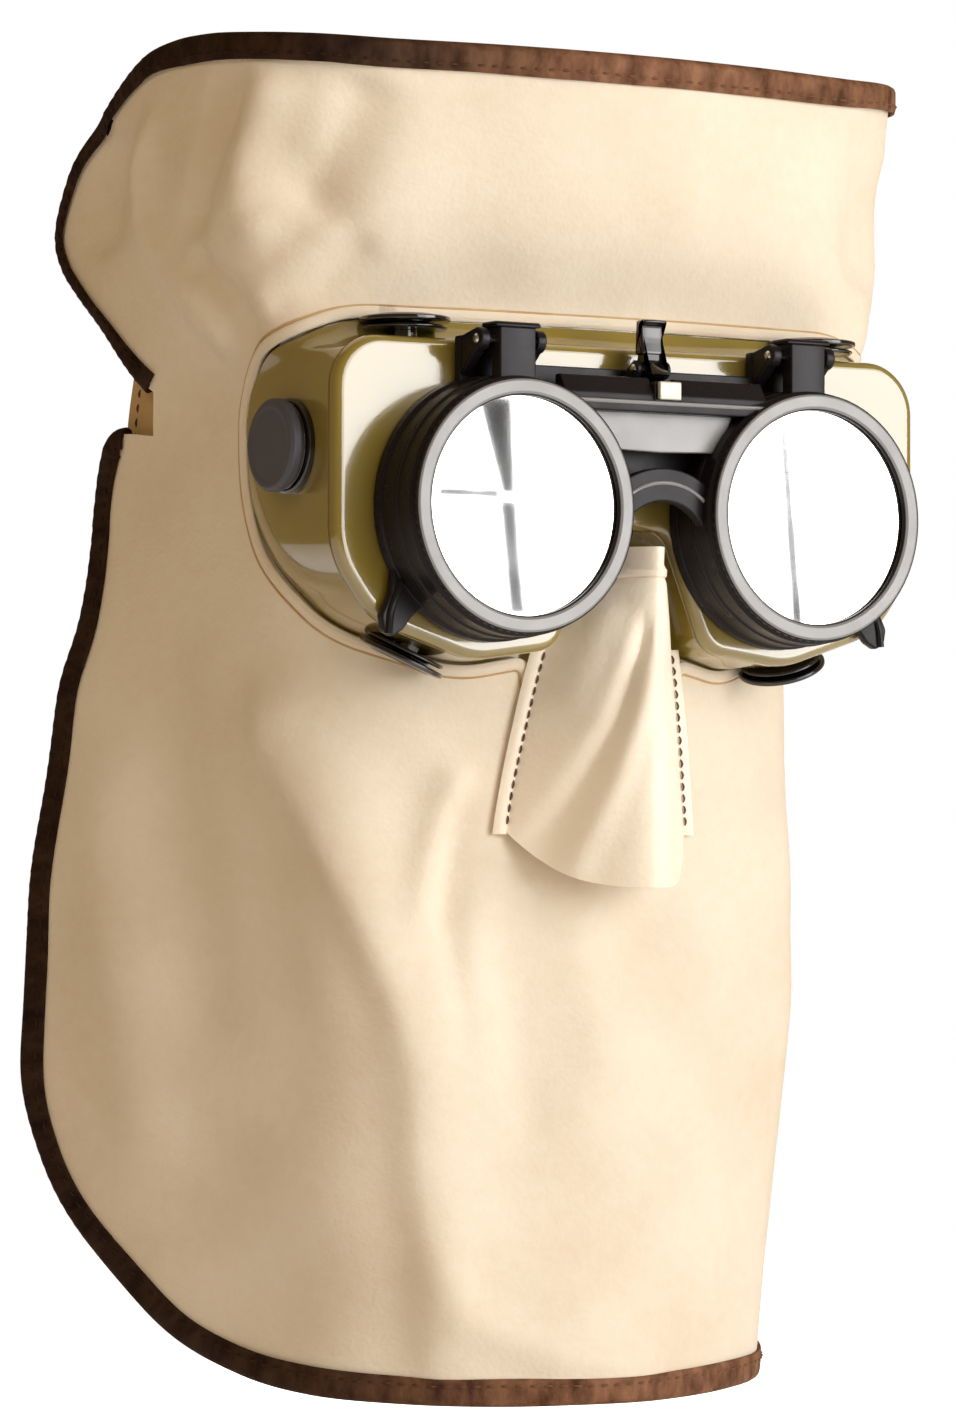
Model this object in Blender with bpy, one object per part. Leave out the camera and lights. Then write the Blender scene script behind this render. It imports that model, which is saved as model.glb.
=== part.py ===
"""Welding goggles set into a leather face guard that covers brow to chin.

The wearer looks along -Y and +Z is up. The origin lies between the eyes, at the height
of the lens axes, on the plane where the goggles seal against the face. All lengths are
metres. The guard is cut as a flat pattern, whose points are named by how far across the
sheet and how high they lie, and is then bent round the face.
"""

import math

import bmesh
import bpy
import numpy as np
from mathutils import Matrix, Vector
from mathutils.bvhtree import BVHTree
from mathutils.geometry import delaunay_2d_cdt

for old_object in list(bpy.data.objects):
    bpy.data.objects.remove(old_object, do_unlink=True)

# Shared clearances and overruns
gap = 0.0003
running_gap = 0.0005
overrun = 0.003
probe = 0.0005
right_angle = math.pi / 2

# Leather guard
guard_rise = 0.103
guard_drop = 0.1995
jaw_half = 0.148
brow_spread = 0.0255
brow_half = jaw_half + brow_spread
guard_setback = 0.042
leather = 0.0014
fold_height = 0.0045
fold_width = 0.011
pattern_pitch = 0.0125
fill_pitch = 0.0150
cutout_clearance = 0.0008

# Edge binding
binding_leg = 0.005
binding_wall = 0.0008
binding_slack = 0.0009

# Nose cover
nose_top = -0.0115
nose_seam_top = -0.034
nose_seam_end = -0.0715
nose_tip_drop = 0.0125
nose_ridge = 0.0465
nose_half_top = 0.009
nose_half_end = 0.0235
nose_margin = 0.005
nose_tuck = 0.0025
nose_crown = 1.15
nose_crown_dip = 0.12
nose_opening_half = 0.0145
nose_opening_end = -0.062

# Goggle body
body_half = 0.078
body_top = 0.0378
body_bottom = 0.0337
body_front = 0.038
body_wall = 0.0018
body_edge = 0.0045
rim_spread = 0.0145
rim_rise = 0.0047
rim_drop = 0.0006
rim_half = body_half + rim_spread
rim_top = body_top + rim_rise
rim_bottom = body_bottom + rim_drop
flange_width = 0.0055
flange_thickness = 0.0014
flange_gap = 0.0012

# Lenses and their holders
lens_spacing = 0.078
lens_radius = 0.025
filter_thickness = 0.0028
cover_thickness = 0.0012
inner_thickness = 0.0025
gasket_thickness = 0.0006
window_radius = 0.0236
front_plane = 0.055
ring_radius = 0.0283
ring_opening = 0.0243
ring_flange = 0.0014
ring_skirt = 0.0028
ring_wall = 0.0013
holder_radius = 0.0288
holder_flare = 0.0004
ledge = 0.0009
carrier_radius = 0.0290
carrier_flare = 0.0006
carrier_plate = 0.0024

# Planes of the lens stack, each a distance forward of the face
ring_back = front_plane - ring_flange
holder_front = ring_back - gap
cover_front = ring_back - gap
cover_back = cover_front - cover_thickness
filter_front = cover_back - gap
filter_back = filter_front - filter_thickness
filter_gasket_back = filter_back - gap - gasket_thickness
holder_back = filter_gasket_back - gap - ledge
carrier_front = holder_back - gap
inner_gasket_front = carrier_front - gap
inner_front = inner_gasket_front - gasket_thickness - gap
inner_back = inner_front - inner_thickness

# Flip hinge
hinge_forward = 0.047
hinge_height = 0.037
pin_radius = 0.001
pin_clearance = 0.00005
knuckle_half = 0.0047
knuckle_radius = 0.004
knuckle_reach = 0.004
lip_level = 0.0396
lip_overhang = 0.0012
lip_thickness = 0.0012
lug_inside = 0.0062
lug_thickness = 0.0023
lug_radius = 0.0026

# Bridge between the two holders
bar_half = 0.0215
bar_top = 0.0302
bar_bottom = 0.0245
bar_depth = 0.0045
web_bottom = 0.0135
web_half = 0.016
web_depth = 0.002
arch_radius = 0.020
arch_bar = 0.0075
arch_depth = 0.0036
arch_angle = 1.9
arch_drop = 0.010
groove_width = 0.0012
bridge_half = 0.009
bridge_top = 0.0326
bridge_bottom = -0.006

# Latch
latch_forward = 0.0445
latch_height = 0.0325
latch_half = 0.0024
latch_hub = 0.002
latch_reach = 0.005
latch_top = 0.0436
latch_tip = 0.0312
latch_thickness = 0.0016
latch_lip = 0.0014
cheek_thickness = 0.0015
cheek_inside = 0.003
keeper_half = 0.0029
keeper_top = 0.0292
keeper_depth = 0.0012
spring_wire = 0.00025
spring_radius = 0.0016
spring_turns = 3
spring_start = 0.0007

# Vents: cap radius, seat radius, gap between seat and cap, and cap thickness for each size
vent_neck = 0.0056
vent_plate = 0.0008
vent_clearance = 0.0006
vent_sizes = (0.0086, 0.0072, 0.0006, 0.0009)
side_vent_sizes = (0.0104, 0.0088, 0.0030, 0.0022)
lower_vent_lean = 0.38
upper_vent_inset = 0.0229
upper_vent_forward = 0.0320
lower_vent_inset = 0.0265
lower_vent_forward = 0.0250
side_vent_forward = 0.0180
side_vent_height = 0.0138

# Brackets from the carrier down to the lower vents, as shares of the carrier radius
strut_thickness = 0.0024
strut_shares = [(0.73, -0.46), (0.57, -0.64), (0.765, -0.955), (0.935, -0.885)]

# Temple tabs, headband and slider
tab_thickness = 0.0012
tab_half = 0.021
tab_middle = 0.0245
tab_length = 0.0355
tab_inset = 0.0085
tab_round = 0.005
band_width = 0.025
band_thickness = 0.0016
band_back = 0.076
band_flat_half = 0.042
band_sewn = 0.013
band_tuck = 0.006
band_turn_across = 0.060
band_turn_back = 0.066
slider_half = 0.010
slider_wall = 0.0018
slider_bridge = 0.003

# The sheet at ten heights, as shares: height of the rise or drop, how far forward of the
# setback, bow, flat run and bend of the jaw half-width, and the final turn of a right angle.
guard_level_shares = np.array([
    (-1.00, 0.619, 1.92, 0.306, 0.188, 0.689),
    (-0.73, 0.643, 1.47, 0.328, 0.172, 0.689),
    (-0.45, 0.526, 0.78, 0.318, 0.175, 0.711),
    (-0.32, 0.512, 0.78, 0.322, 0.185, 0.733),
    (-0.18, 0.619, 1.45, 0.385, 0.185, 0.767),
    (0.00, 0.667, 0.82, 0.382, 0.174, 0.844),
    (0.29, 0.690, 0.42, 0.376, 0.218, 0.878),
    (0.44, 0.575, 0.44, 0.480, 0.150, 0.950),
    (0.60, 0.880, 0.74, 0.432, 0.284, 0.967),
    (1.00, 1.000, 0.67, 0.432, 0.324, 0.967),
])

# The flat pattern's edge from the brow's middle to the slit at the temple, then from the
# slit round the jaw to the chin's middle. Across is a share of the brow or jaw half-width.
brow_edge_shares = [
    (0.00, 0.992), (0.20, 0.993), (0.38, 0.996), (0.53, 1.010), (0.63, 1.022),
    (0.70, 1.022), (0.77, 1.000), (0.84, 0.942), (0.915, 0.865), (0.968, 0.797),
    (0.997, 0.710), (0.995, 0.640), (0.965, 0.580), (0.918, 0.528), (0.862, 0.456),
    (0.805, 0.380), (0.740, 0.300), (0.724, 0.284),
]
jaw_edge_shares = [
    (0.845, 0.187), (0.932, 0.192), (0.957, 0.120), (0.962, 0.030), (0.954, -0.020),
    (0.940, -0.075), (0.936, -0.130), (0.952, -0.200), (0.972, -0.310), (0.994, -0.440),
    (1.002, -0.570), (0.994, -0.660), (0.958, -0.737), (0.896, -0.806), (0.808, -0.874),
    (0.706, -0.935), (0.593, -0.970), (0.470, -0.988), (0.330, -0.996), (0.160, -1.000),
    (0.000, -1.000),
]

# Corners of the goggle's outline, half of it, from the top round to the nose notch, as
# shares of its half-width and of its top or bottom height, each with its corner radius
# as a share of the half-width.
front_corner_shares = [
    (0.90, 1.00, 0.08), (1.00, 0.83, 0.08), (1.00, -0.33, 0.26), (0.87, -0.75, 0.26),
    (0.54, -1.00, 0.26), (0.26, -0.91, 0.10), (0.12, -0.10, 0.08),
]
rim_corner_shares = [
    (0.70, 1.00, 0.39), (1.016, 0.76, 0.19), (0.987, -0.01, 0.44), (0.696, -0.743, 0.35),
    (0.40, -1.00, 0.27), (0.227, -0.905, 0.08), (0.115, -0.10, 0.07),
]
straight_counts = [3, 1, 1, 2, 1, 1, 2, 1]

# Folds pressed out of the sheet, as shares: start across and height, end across and
# height, size of the fold height, width of the fold width.
fold_shares = [
    (0.65, 0.48, 0.74, 0.86, 0.80, 1.0),
    (0.54, 0.54, 0.60, 0.94, -0.60, 1.1),
    (0.16, -0.36, 0.30, -0.72, 0.50, 1.2),
    (0.50, -0.28, 0.36, -0.66, 0.45, 1.2),
]


def paint(piece, colour, roughness, metallic=0.0, clearcoat=0.0):
    """Give a piece a Principled material of its own."""
    material = bpy.data.materials.new(piece.name)
    material.use_nodes = True
    shader = material.node_tree.nodes["Principled BSDF"]
    shader.inputs["Base Color"].default_value = (*colour, 1.0)
    shader.inputs["Roughness"].default_value = roughness
    shader.inputs["Metallic"].default_value = metallic
    shader.inputs["Coat Weight"].default_value = clearcoat
    piece.data.materials.append(material)


def add_piece(name, mesh, parent=None):
    """Link a mesh to the scene as a named piece, hung on an empty if one is given."""
    piece = bpy.data.objects.new(name, mesh)
    bpy.context.scene.collection.objects.link(piece)
    if parent is not None:
        piece.parent = parent
        piece.matrix_parent_inverse = Matrix.Translation(parent.location).inverted()
    return piece


def add_axis(name, place):
    """Add an empty that marks a joint's axis and carries what moves on it."""
    axis = bpy.data.objects.new(name, None)
    axis.location = place
    bpy.context.scene.collection.objects.link(axis)
    return axis


def finish_mesh(bm, name, smooth=True):
    """Turn a bmesh into a mesh with outward faces and sharp edges kept crisp."""
    bmesh.ops.recalc_face_normals(bm, faces=bm.faces)
    mesh = bpy.data.meshes.new(name)
    bm.to_mesh(mesh)
    bm.free()
    if smooth:
        mesh.shade_smooth()
        mesh.set_sharp_from_angle(angle=right_angle / 3)
    return mesh


def ring_solid(name, rings, closed_loop=False):
    """Join equal rings of points into a closed solid, capped at its two ends."""
    bm = bmesh.new()
    rows = [[bm.verts.new(point) for point in ring] for ring in rings]
    count = len(rows[0])
    pairs = list(zip(rows, rows[1:]))
    if closed_loop:
        pairs.append((rows[-1], rows[0]))
    for lower, upper in pairs:
        for i in range(count):
            j = (i + 1) % count
            bm.faces.new((lower[i], lower[j], upper[j], upper[i]))
    if not closed_loop:
        bm.faces.new(rows[0][::-1])
        bm.faces.new(rows[-1])
    return finish_mesh(bm, name)


def turned(name, profile, steps=40):
    """Spin a closed profile of (radius, height) points about the local Z axis."""
    bm = bmesh.new()
    verts = [bm.verts.new((radius, 0.0, height)) for radius, height in profile]
    edges = [bm.edges.new((a, b)) for a, b in zip(verts, verts[1:] + verts[:1])]
    bmesh.ops.spin(bm, geom=verts + edges, cent=(0, 0, 0), axis=(0, 0, 1),
                   angle=math.tau, steps=steps, use_merge=False)
    bmesh.ops.remove_doubles(bm, verts=bm.verts, dist=probe / 100)
    return finish_mesh(bm, name)


def disc_solid(name, radius, bottom, top, steps=40, bevel=0.0):
    """A plain round disc about the local Z axis, its top edge bevelled if asked."""
    bm = bmesh.new()
    bmesh.ops.create_cone(bm, cap_ends=True, segments=steps, radius1=radius,
                          radius2=radius, depth=top - bottom,
                          matrix=Matrix.Translation((0, 0, (top + bottom) / 2)))
    if bevel > 0.0:
        rim = [edge for edge in bm.edges
               if all(vert.co.z > (top + bottom) / 2 for vert in edge.verts)]
        bmesh.ops.bevel(bm, geom=rim, offset=bevel, segments=2, profile=0.6,
                        affect='EDGES')
    return finish_mesh(bm, name)


def prism(name, outline, low, high, axis):
    """Extrude a flat outline between two places along the X, Y or Z axis."""
    def place(point, along):
        if axis == 'X':
            return (along, point[0], point[1])
        if axis == 'Y':
            return (point[0], along, point[1])
        return (point[0], point[1], along)
    return ring_solid(name, [[place(point, low) for point in outline],
                             [place(point, high) for point in outline]])


def block(name, low, high):
    """A box between two corners."""
    bm = bmesh.new()
    middle = (Vector(low) + Vector(high)) / 2
    size = Vector(high) - Vector(low)
    bmesh.ops.create_cube(bm, size=1.0,
                          matrix=Matrix.Translation(middle) @ Matrix.Diagonal((*size, 1)))
    return finish_mesh(bm, name, smooth=False)


def tool_piece(mesh):
    """Make a mesh into a hidden cutting or joining tool."""
    tool = add_piece("tool_" + mesh.name, mesh)
    tool.hide_render = True
    tool.display_type = 'WIRE'
    return tool


def shape(piece, mesh, operation='DIFFERENCE'):
    """Cut a mesh from a piece, or join it on, with an exact Boolean modifier."""
    tool = tool_piece(mesh)
    tool.parent = piece.parent
    tool.matrix_parent_inverse = piece.matrix_parent_inverse
    modifier = piece.modifiers.new(tool.name, 'BOOLEAN')
    modifier.operation = operation
    modifier.solver = 'EXACT'
    modifier.object = tool


def along_y(mesh, x, y, z):
    """Turn a mesh about Z to face forward, along -Y, and move it to a place."""
    mesh.transform(Matrix.Translation((x, y, z)) @ Matrix.Rotation(right_angle, 4, 'X'))
    return mesh


def along_x(mesh, x, y, z):
    """Turn a mesh from the Z axis to the X axis and move it to a place."""
    mesh.transform(Matrix.Translation((x, y, z)) @ Matrix.Rotation(right_angle, 4, 'Y'))
    return mesh


def height_of(share):
    """Height above the lens axes of a share of the rise or of the drop."""
    return share * (guard_rise if share > 0 else guard_drop)


level_heights = np.array([height_of(row[0]) for row in guard_level_shares])
level_values = guard_level_shares[:, 1:] * (guard_setback, 1, jaw_half, jaw_half, right_angle)


def between_levels(height):
    """Cubic blend of the level table at each height, one column per value."""
    slopes = np.gradient(level_values, level_heights, axis=0)
    height = np.clip(height, level_heights[0], level_heights[-1])
    low = np.clip(np.searchsorted(level_heights, height) - 1, 0, len(level_heights) - 2)
    span = (level_heights[low + 1] - level_heights[low])[:, None]
    t = (height[:, None] - level_heights[low][:, None]) / span
    return ((1 + 2 * t) * (1 - t) ** 2 * level_values[low]
            + t * (1 - t) ** 2 * span * slopes[low]
            + t * t * (3 - 2 * t) * level_values[low + 1]
            + t * t * (t - 1) * span * slopes[low + 1])


def fold_lift(across, height):
    """How far the folds push the sheet out: a ridge along each line, fading at its ends."""
    lift = np.zeros_like(across)
    for start_x, start_z, end_x, end_z, size, width in fold_shares:
        start = np.array([start_x * jaw_half, height_of(start_z)])
        run = np.array([end_x * jaw_half, height_of(end_z)]) - start
        offset = np.stack([np.abs(across), height], axis=1) - start
        along = offset @ run / (run @ run)
        apart = (offset @ np.array([-run[1], run[0]])) / np.linalg.norm(run)
        fade = np.sin(np.clip(along, 0, 1) * math.pi)
        lift += size * fold_height * fade * np.exp(-(apart / (width * fold_width)) ** 2)
    return lift


def plan_point(across, height):
    """Bend the sheet in plan: a bowed front, a tighter corner, then a straight side."""
    front, bow, flat, bend, turn = between_levels(height).T[:, :, None]
    share = np.linspace(0, 1, 65)
    weight = np.full(65, 1 / 64)
    weight[[0, -1]] /= 2
    run = np.abs(across)[:, None] * share
    corner = np.clip((run - flat) / bend, 0, 1)
    bow = bow / jaw_half
    angle = bow * np.minimum(run, flat) + (turn - bow * flat) * corner ** 2 * (3 - 2 * corner)
    x = across * (np.cos(angle) @ weight)
    y = np.abs(across) * (np.sin(angle) @ weight) - front[:, 0]
    return np.stack([x, y, height], axis=1)


def guard_point(across, height, lift=0.0):
    """Place pattern points on the bent sheet, lifted along its outward normal."""
    across = np.atleast_1d(np.asarray(across, float))
    height = np.atleast_1d(np.asarray(height, float))
    sideways = plan_point(across + probe, height) - plan_point(across - probe, height)
    upward = plan_point(across, height + probe) - plan_point(across, height - probe)
    normal = np.cross(sideways, upward)
    normal /= np.linalg.norm(normal, axis=1)[:, None]
    return plan_point(across, height) + normal * (lift + fold_lift(across, height))[:, None]


def smooth_line(points, steps):
    """A curve through points, with a cubic run of the given steps between each two."""
    points = np.asarray(points, float)
    padded = np.vstack([2 * points[0] - points[1], points, 2 * points[-1] - points[-2]])
    t = np.arange(steps)[:, None] / steps
    runs = []
    for a, b, c, d in zip(padded, padded[1:], padded[2:], padded[3:]):
        runs.append(b + t * (c - a) / 2 + t ** 2 * (2 * a - 5 * b + 4 * c - d) / 2
                    + t ** 3 * (3 * b - a - 3 * c + d) / 2)
    return np.vstack(runs + [points[-1:]])


def even_line(points, pitch):
    """Points spaced evenly along a line, close to the pitch apart."""
    lengths = np.concatenate([[0], np.cumsum(np.linalg.norm(np.diff(points, axis=0), axis=1))])
    stops = np.linspace(0, lengths[-1], int(round(lengths[-1] / pitch)) + 1)
    return np.stack([np.interp(stops, lengths, column) for column in points.T], axis=1)


def pattern_line(shares, half):
    """A pattern edge from its table of shares, as a smooth line."""
    return smooth_line([(x * half, height_of(z)) for x, z in shares], 8)


def full_corners(half_corners):
    """Mirror half an outline's (x, z, radius) corners into a whole one, anticlockwise."""
    left = [(-x, z, radius) for x, z, radius in half_corners]
    return left + half_corners[::-1]


def sized_corners(shares, half, top, bottom):
    """Half an outline's corners in metres."""
    return [(x * half, z * (top if z > 0 else bottom), radius * half)
            for x, z, radius in shares]


def grow(corners, distance):
    """Move an outline's sides outward, and its corner radii with them."""
    grown = []
    for i, (x, z, radius) in enumerate(corners):
        before = Vector(corners[i - 1][:2])
        here = Vector((x, z))
        after = Vector(corners[(i + 1) % len(corners)][:2])
        first = (here - before).normalized()
        second = (after - here).normalized()
        out_first = Vector((first.y, -first.x))
        out_second = Vector((second.y, -second.x))
        miter = (out_first + out_second) / (1 + out_first.dot(out_second))
        turn = first.x * second.y - first.y * second.x
        moved = here + miter * distance
        grown.append((moved.x, moved.y, radius + distance * math.copysign(1, turn)))
    return grown


def rounded_outline(corners, counts, arc_steps=4):
    """Points round an outline: an arc at each corner, and a few on each straight side.

    The counts name the points on the half outline's sides, from the top's half side to
    the notch's half side, so that two outlines with the same counts can be joined.
    """
    arcs = []
    for i, (x, z, radius) in enumerate(corners):
        here = Vector((x, z))
        first = (here - Vector(corners[i - 1][:2])).normalized()
        second = (Vector(corners[(i + 1) % len(corners)][:2]) - here).normalized()
        turn = math.atan2(first.x * second.y - first.y * second.x, first.dot(second))
        back = radius * math.tan(abs(turn) / 2)
        side = Vector((-first.y, first.x)) * math.copysign(radius, turn)
        start = here - first * back
        centre = start + side
        arc = []
        for k in range(arc_steps):
            spun = Matrix.Rotation(turn * k / (arc_steps - 1), 2)
            arc.append(centre + spun @ (start - centre))
        arcs.append(arc)
    half = len(corners) // 2
    side_counts = [counts[1 + k] for k in range(half - 1)] + [2 * counts[-1]]
    side_counts += [counts[half - 1 - k] for k in range(half - 1)] + [2 * counts[0]]
    points = []
    for i, arc in enumerate(arcs):
        points.extend(arc)
        after = arcs[(i + 1) % len(arcs)][0]
        for k in range(1, side_counts[i]):
            points.append(arc[-1].lerp(after, k / side_counts[i]))
    return np.array([(point.x, point.y) for point in points])


def inside(points, outline):
    """Which points lie inside a closed outline, by counting the sides they cross."""
    x, z = points[:, :1], points[:, 1:]
    ax, az = outline.T
    bx, bz = np.roll(outline, -1, axis=0).T
    crosses = (az > z) != (bz > z)
    safe = np.where(az == bz, 1, bz - az)
    return (crosses & (x < ax + (z - az) * (bx - ax) / safe)).sum(axis=1) % 2 == 1


def sheet_solid(name, loops, pitch, place, thickness, extra=None):
    """Cut a flat pattern bounded by loops, bend it by a function, and thicken it.

    The sheet is filled with points about a pitch apart, and with any extra ones.
    """
    outer, holes = loops[0], loops[1:]
    low, high = outer.min(axis=0), outer.max(axis=0)
    columns = np.arange(low[0] + pitch / 2, high[0], pitch)
    rows = np.arange(low[1] + pitch / 2, high[1], pitch)
    fill = np.array([(x, z) for x in columns for z in rows])
    edge = np.vstack(loops)
    taken = edge if extra is None else np.vstack([edge, extra])
    clear = np.min(np.linalg.norm(fill[:, None] - taken[None], axis=2), axis=1) > pitch * 0.55
    keep = clear & inside(fill, outer)
    for hole in holes:
        keep &= ~inside(fill, hole)
    points = np.vstack([taken, fill[keep]])
    sides = []
    start = 0
    for loop in loops:
        count = len(loop)
        sides += [(start + i, start + (i + 1) % count) for i in range(count)]
        start += count
    verts, _, faces, *_ = delaunay_2d_cdt([Vector(p) for p in points], sides, [], 0,
                                          probe / 1000)
    flat = np.array([tuple(vert) for vert in verts])
    faces = np.array(faces)
    centres = flat[faces].mean(axis=1)
    wanted = inside(centres, outer)
    for hole in holes:
        wanted &= ~inside(centres, hole)
    mesh = bpy.data.meshes.new(name)
    mesh.from_pydata(place(flat[:, 0], flat[:, 1]).tolist(), [], faces[wanted].tolist())
    mesh.shade_smooth()
    piece = add_piece(name, mesh)
    solid = piece.modifiers.new("thickness", 'SOLIDIFY')
    solid.thickness = thickness
    solid.offset = 0.0
    solid.use_even_offset = True
    return piece


# Flat outlines that several pieces share
brow_edge = pattern_line(brow_edge_shares, brow_half)
jaw_edge = pattern_line(jaw_edge_shares, jaw_half)
rim_corners = full_corners(sized_corners(rim_corner_shares, rim_half, rim_top, rim_bottom))
front_corners = full_corners(
    sized_corners(front_corner_shares, body_half, body_top, body_bottom))


def edge_points(line):
    """The points along a pattern edge that the sheet and its binding both follow."""
    return even_line(line, pattern_pitch)


def edge_outward(line):
    """Unit directions out of the sheet along one of its edges, in the flat pattern."""
    along = np.gradient(line, axis=0)
    along /= np.linalg.norm(along, axis=1)[:, None]
    return np.stack([-along[:, 1], along[:, 0]], axis=1)


def guard_edge(brow, jaw):
    """A whole closed edge from the brow's and the jaw's right halves."""
    right = np.vstack([brow, jaw])
    left = (right * (-1, 1))[::-1]
    return np.vstack([right, left[np.abs(left[:, 0]) > probe]])


def guard_loops():
    """The guard's outer edge, and the one opening for the goggles and the nose."""
    outer = guard_edge(edge_points(brow_edge), edge_points(jaw_edge))
    half = sized_corners(rim_corner_shares[:5], rim_half, rim_top, rim_bottom)
    half += [(nose_opening_half + body_edge, rim_corners[5][1], body_edge),
             (nose_opening_half, nose_opening_end, nose_opening_half / 2)]
    opening = rounded_outline(grow(full_corners(half), cutout_clearance), straight_counts)
    return [outer, opening]


def make_guard():
    """The leather sheet, bent from its flat pattern."""
    inner = guard_edge(*[edge_points(line - binding_leg * edge_outward(line))[1:-1]
                         for line in (brow_edge, jaw_edge)])
    guard = sheet_solid("face_guard", guard_loops(), fill_pitch, guard_point, leather,
                        inner[np.abs(inner[:, 0]) > binding_leg])
    paint(guard, (0.80, 0.64, 0.45), 0.62)


def make_binding(name, line):
    """A folded strip sewn over the sheet's edge, a channel swept along it."""
    slot = leather / 2 + binding_slack
    outside = slot + binding_wall
    back = binding_slack + binding_wall
    section = np.array([
        (-binding_leg, outside), (back, outside), (back, -outside), (-binding_leg, -outside),
        (-binding_leg, -slot), (binding_slack, -slot), (binding_slack, slot),
        (-binding_leg, slot)])
    path = guard_point(line[:, 0], line[:, 1])
    lifted = guard_point(line[:, 0], line[:, 1], probe)
    normals = (lifted - path) / probe
    tangents = np.gradient(path, axis=0)
    tangents /= np.linalg.norm(tangents, axis=1)[:, None]
    outward = np.cross(tangents, normals)
    rings = [point + section[:, :1] * out + section[:, 1:] * up
             for point, out, up in zip(path, outward, normals)]
    binding = add_piece(name, ring_solid(name, [ring.tolist() for ring in rings]))
    paint(binding, (0.11, 0.055, 0.035), 0.75)


def make_bindings():
    """The brow's binding ends at the temple slits, the jaw's runs from tab to tab."""
    brow = edge_points(brow_edge)[:-1]
    jaw = edge_points(jaw_edge)[1:]
    make_binding("brow_binding", np.vstack([brow[::-1], brow[1:] * (-1, 1)]))
    make_binding("jaw_binding", np.vstack([(jaw * (-1, 1)), jaw[::-1][1:]]))


def make_nose_cover():
    """A sewn leather tent over the nose, open below, with margins lying on the guard."""
    sweep = np.linspace(-1, 1, 17)
    bulge = (1 - np.abs(sweep) ** nose_crown) * (1 - nose_crown_dip * np.abs(sweep) ** 2)
    rows = []
    margins = []
    for share in np.linspace(0, 1, 10):
        level = nose_top + (nose_seam_end - nose_top) * share
        half = nose_half_top + (nose_half_end - nose_half_top) * share ** 0.6
        tuck = max(0.0, (level - nose_seam_top) / (nose_top - nose_seam_top))
        seat = guard_point(half, level, leather + gap)[0][1] - tuck * nose_tuck
        ridge = -nose_ridge - tuck * leather
        depth = seat + (ridge - seat) * bulge
        height = level - nose_tip_drop * share ** 3 * bulge
        rows.append(np.stack([half * sweep, depth, height], axis=1))
        if level < nose_seam_top:
            margins.append(guard_point([half + nose_margin], [level], leather + gap)[0])
    bm = bmesh.new()
    grid = [[bm.verts.new(point) for point in row] for row in rows]
    for upper, lower in zip(grid, grid[1:]):
        for i in range(len(sweep) - 1):
            bm.faces.new((upper[i], upper[i + 1], lower[i + 1], lower[i]))
    for side, end in ((-1, 0), (1, -1)):
        seam = [row[end] for row in grid[-len(margins):]]
        edge = [bm.verts.new(point * (side, 1, 1)) for point in margins]
        for i in range(len(seam) - 1):
            bm.faces.new((seam[i], seam[i + 1], edge[i + 1], edge[i]))
    bmesh.ops.recalc_face_normals(bm, faces=bm.faces)
    mesh = bpy.data.meshes.new("nose_cover")
    bm.to_mesh(mesh)
    bm.free()
    mesh.shade_smooth()
    cover = add_piece("nose_cover", mesh)
    solid = cover.modifiers.new("thickness", 'SOLIDIFY')
    solid.thickness = leather
    solid.offset = 0.0
    solid.use_even_offset = True
    paint(cover, (0.82, 0.64, 0.46), 0.6)


def body_rings():
    """Cross-sections of the goggle's shell: front, side, flange, then back inside it."""
    def front(outset, forward):
        outline = rounded_outline(grow(front_corners, outset), straight_counts)
        return np.stack([outline[:, 0], np.full(len(outline), -forward), outline[:, 1]], axis=1)

    def rim(outset, lift):
        outline = rounded_outline(grow(rim_corners, outset), straight_counts)
        return guard_point(outline[:, 0], outline[:, 1], lift)

    seal = leather / 2 + flange_gap
    back = -seal - flange_thickness
    mouth = front(0, body_front - body_edge)
    skirt = rim(0, leather / 2 + gap)
    inner_mouth = front(-body_wall, body_front - body_edge)
    inner_skirt = rim(-body_wall, leather / 2 + gap)

    def between(first, last, share):
        blend = first * (1 - share) + last * share
        late = first[:, 2] * (1 - share ** 4) + last[:, 2] * share ** 4
        blend[:, 2] = np.minimum(blend[:, 2], late)
        return blend

    round_in = body_edge * 0.29
    return [
        front(-body_edge, body_front), front(-round_in, body_front - round_in), mouth,
        between(mouth, skirt, 0.4), between(mouth, skirt, 0.75), skirt, rim(0, -seal),
        rim(flange_width, -seal), rim(flange_width, back), rim(-body_wall, back),
        inner_skirt, between(inner_mouth, inner_skirt, 0.75),
        between(inner_mouth, inner_skirt, 0.4), inner_mouth,
        front(-body_wall - body_edge * 0.8, body_front - body_wall)]


def seated(mesh, place, normal):
    """Stand a mesh built about the Z axis on a place, with Z along its normal."""
    turn = normal.to_track_quat('Z', 'Y').to_matrix().to_4x4()
    mesh.transform(Matrix.Translation(place) @ turn)
    return mesh


def wall_rise(tree, place, normal, radius):
    """How far the shell's wall rises above a place, within a radius round it."""
    turn = normal.to_track_quat('Z', 'Y').to_matrix()
    rises = [0.0]
    for k in range(12):
        foot = place + turn @ Vector((math.cos(math.tau * k / 12), math.sin(math.tau * k / 12),
                                      0.0)) * radius
        hit = tree.ray_cast(foot + normal * radius, -normal, radius * 2)
        if hit[0] is not None:
            rises.append(radius - hit[3])
    return max(rises)


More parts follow.
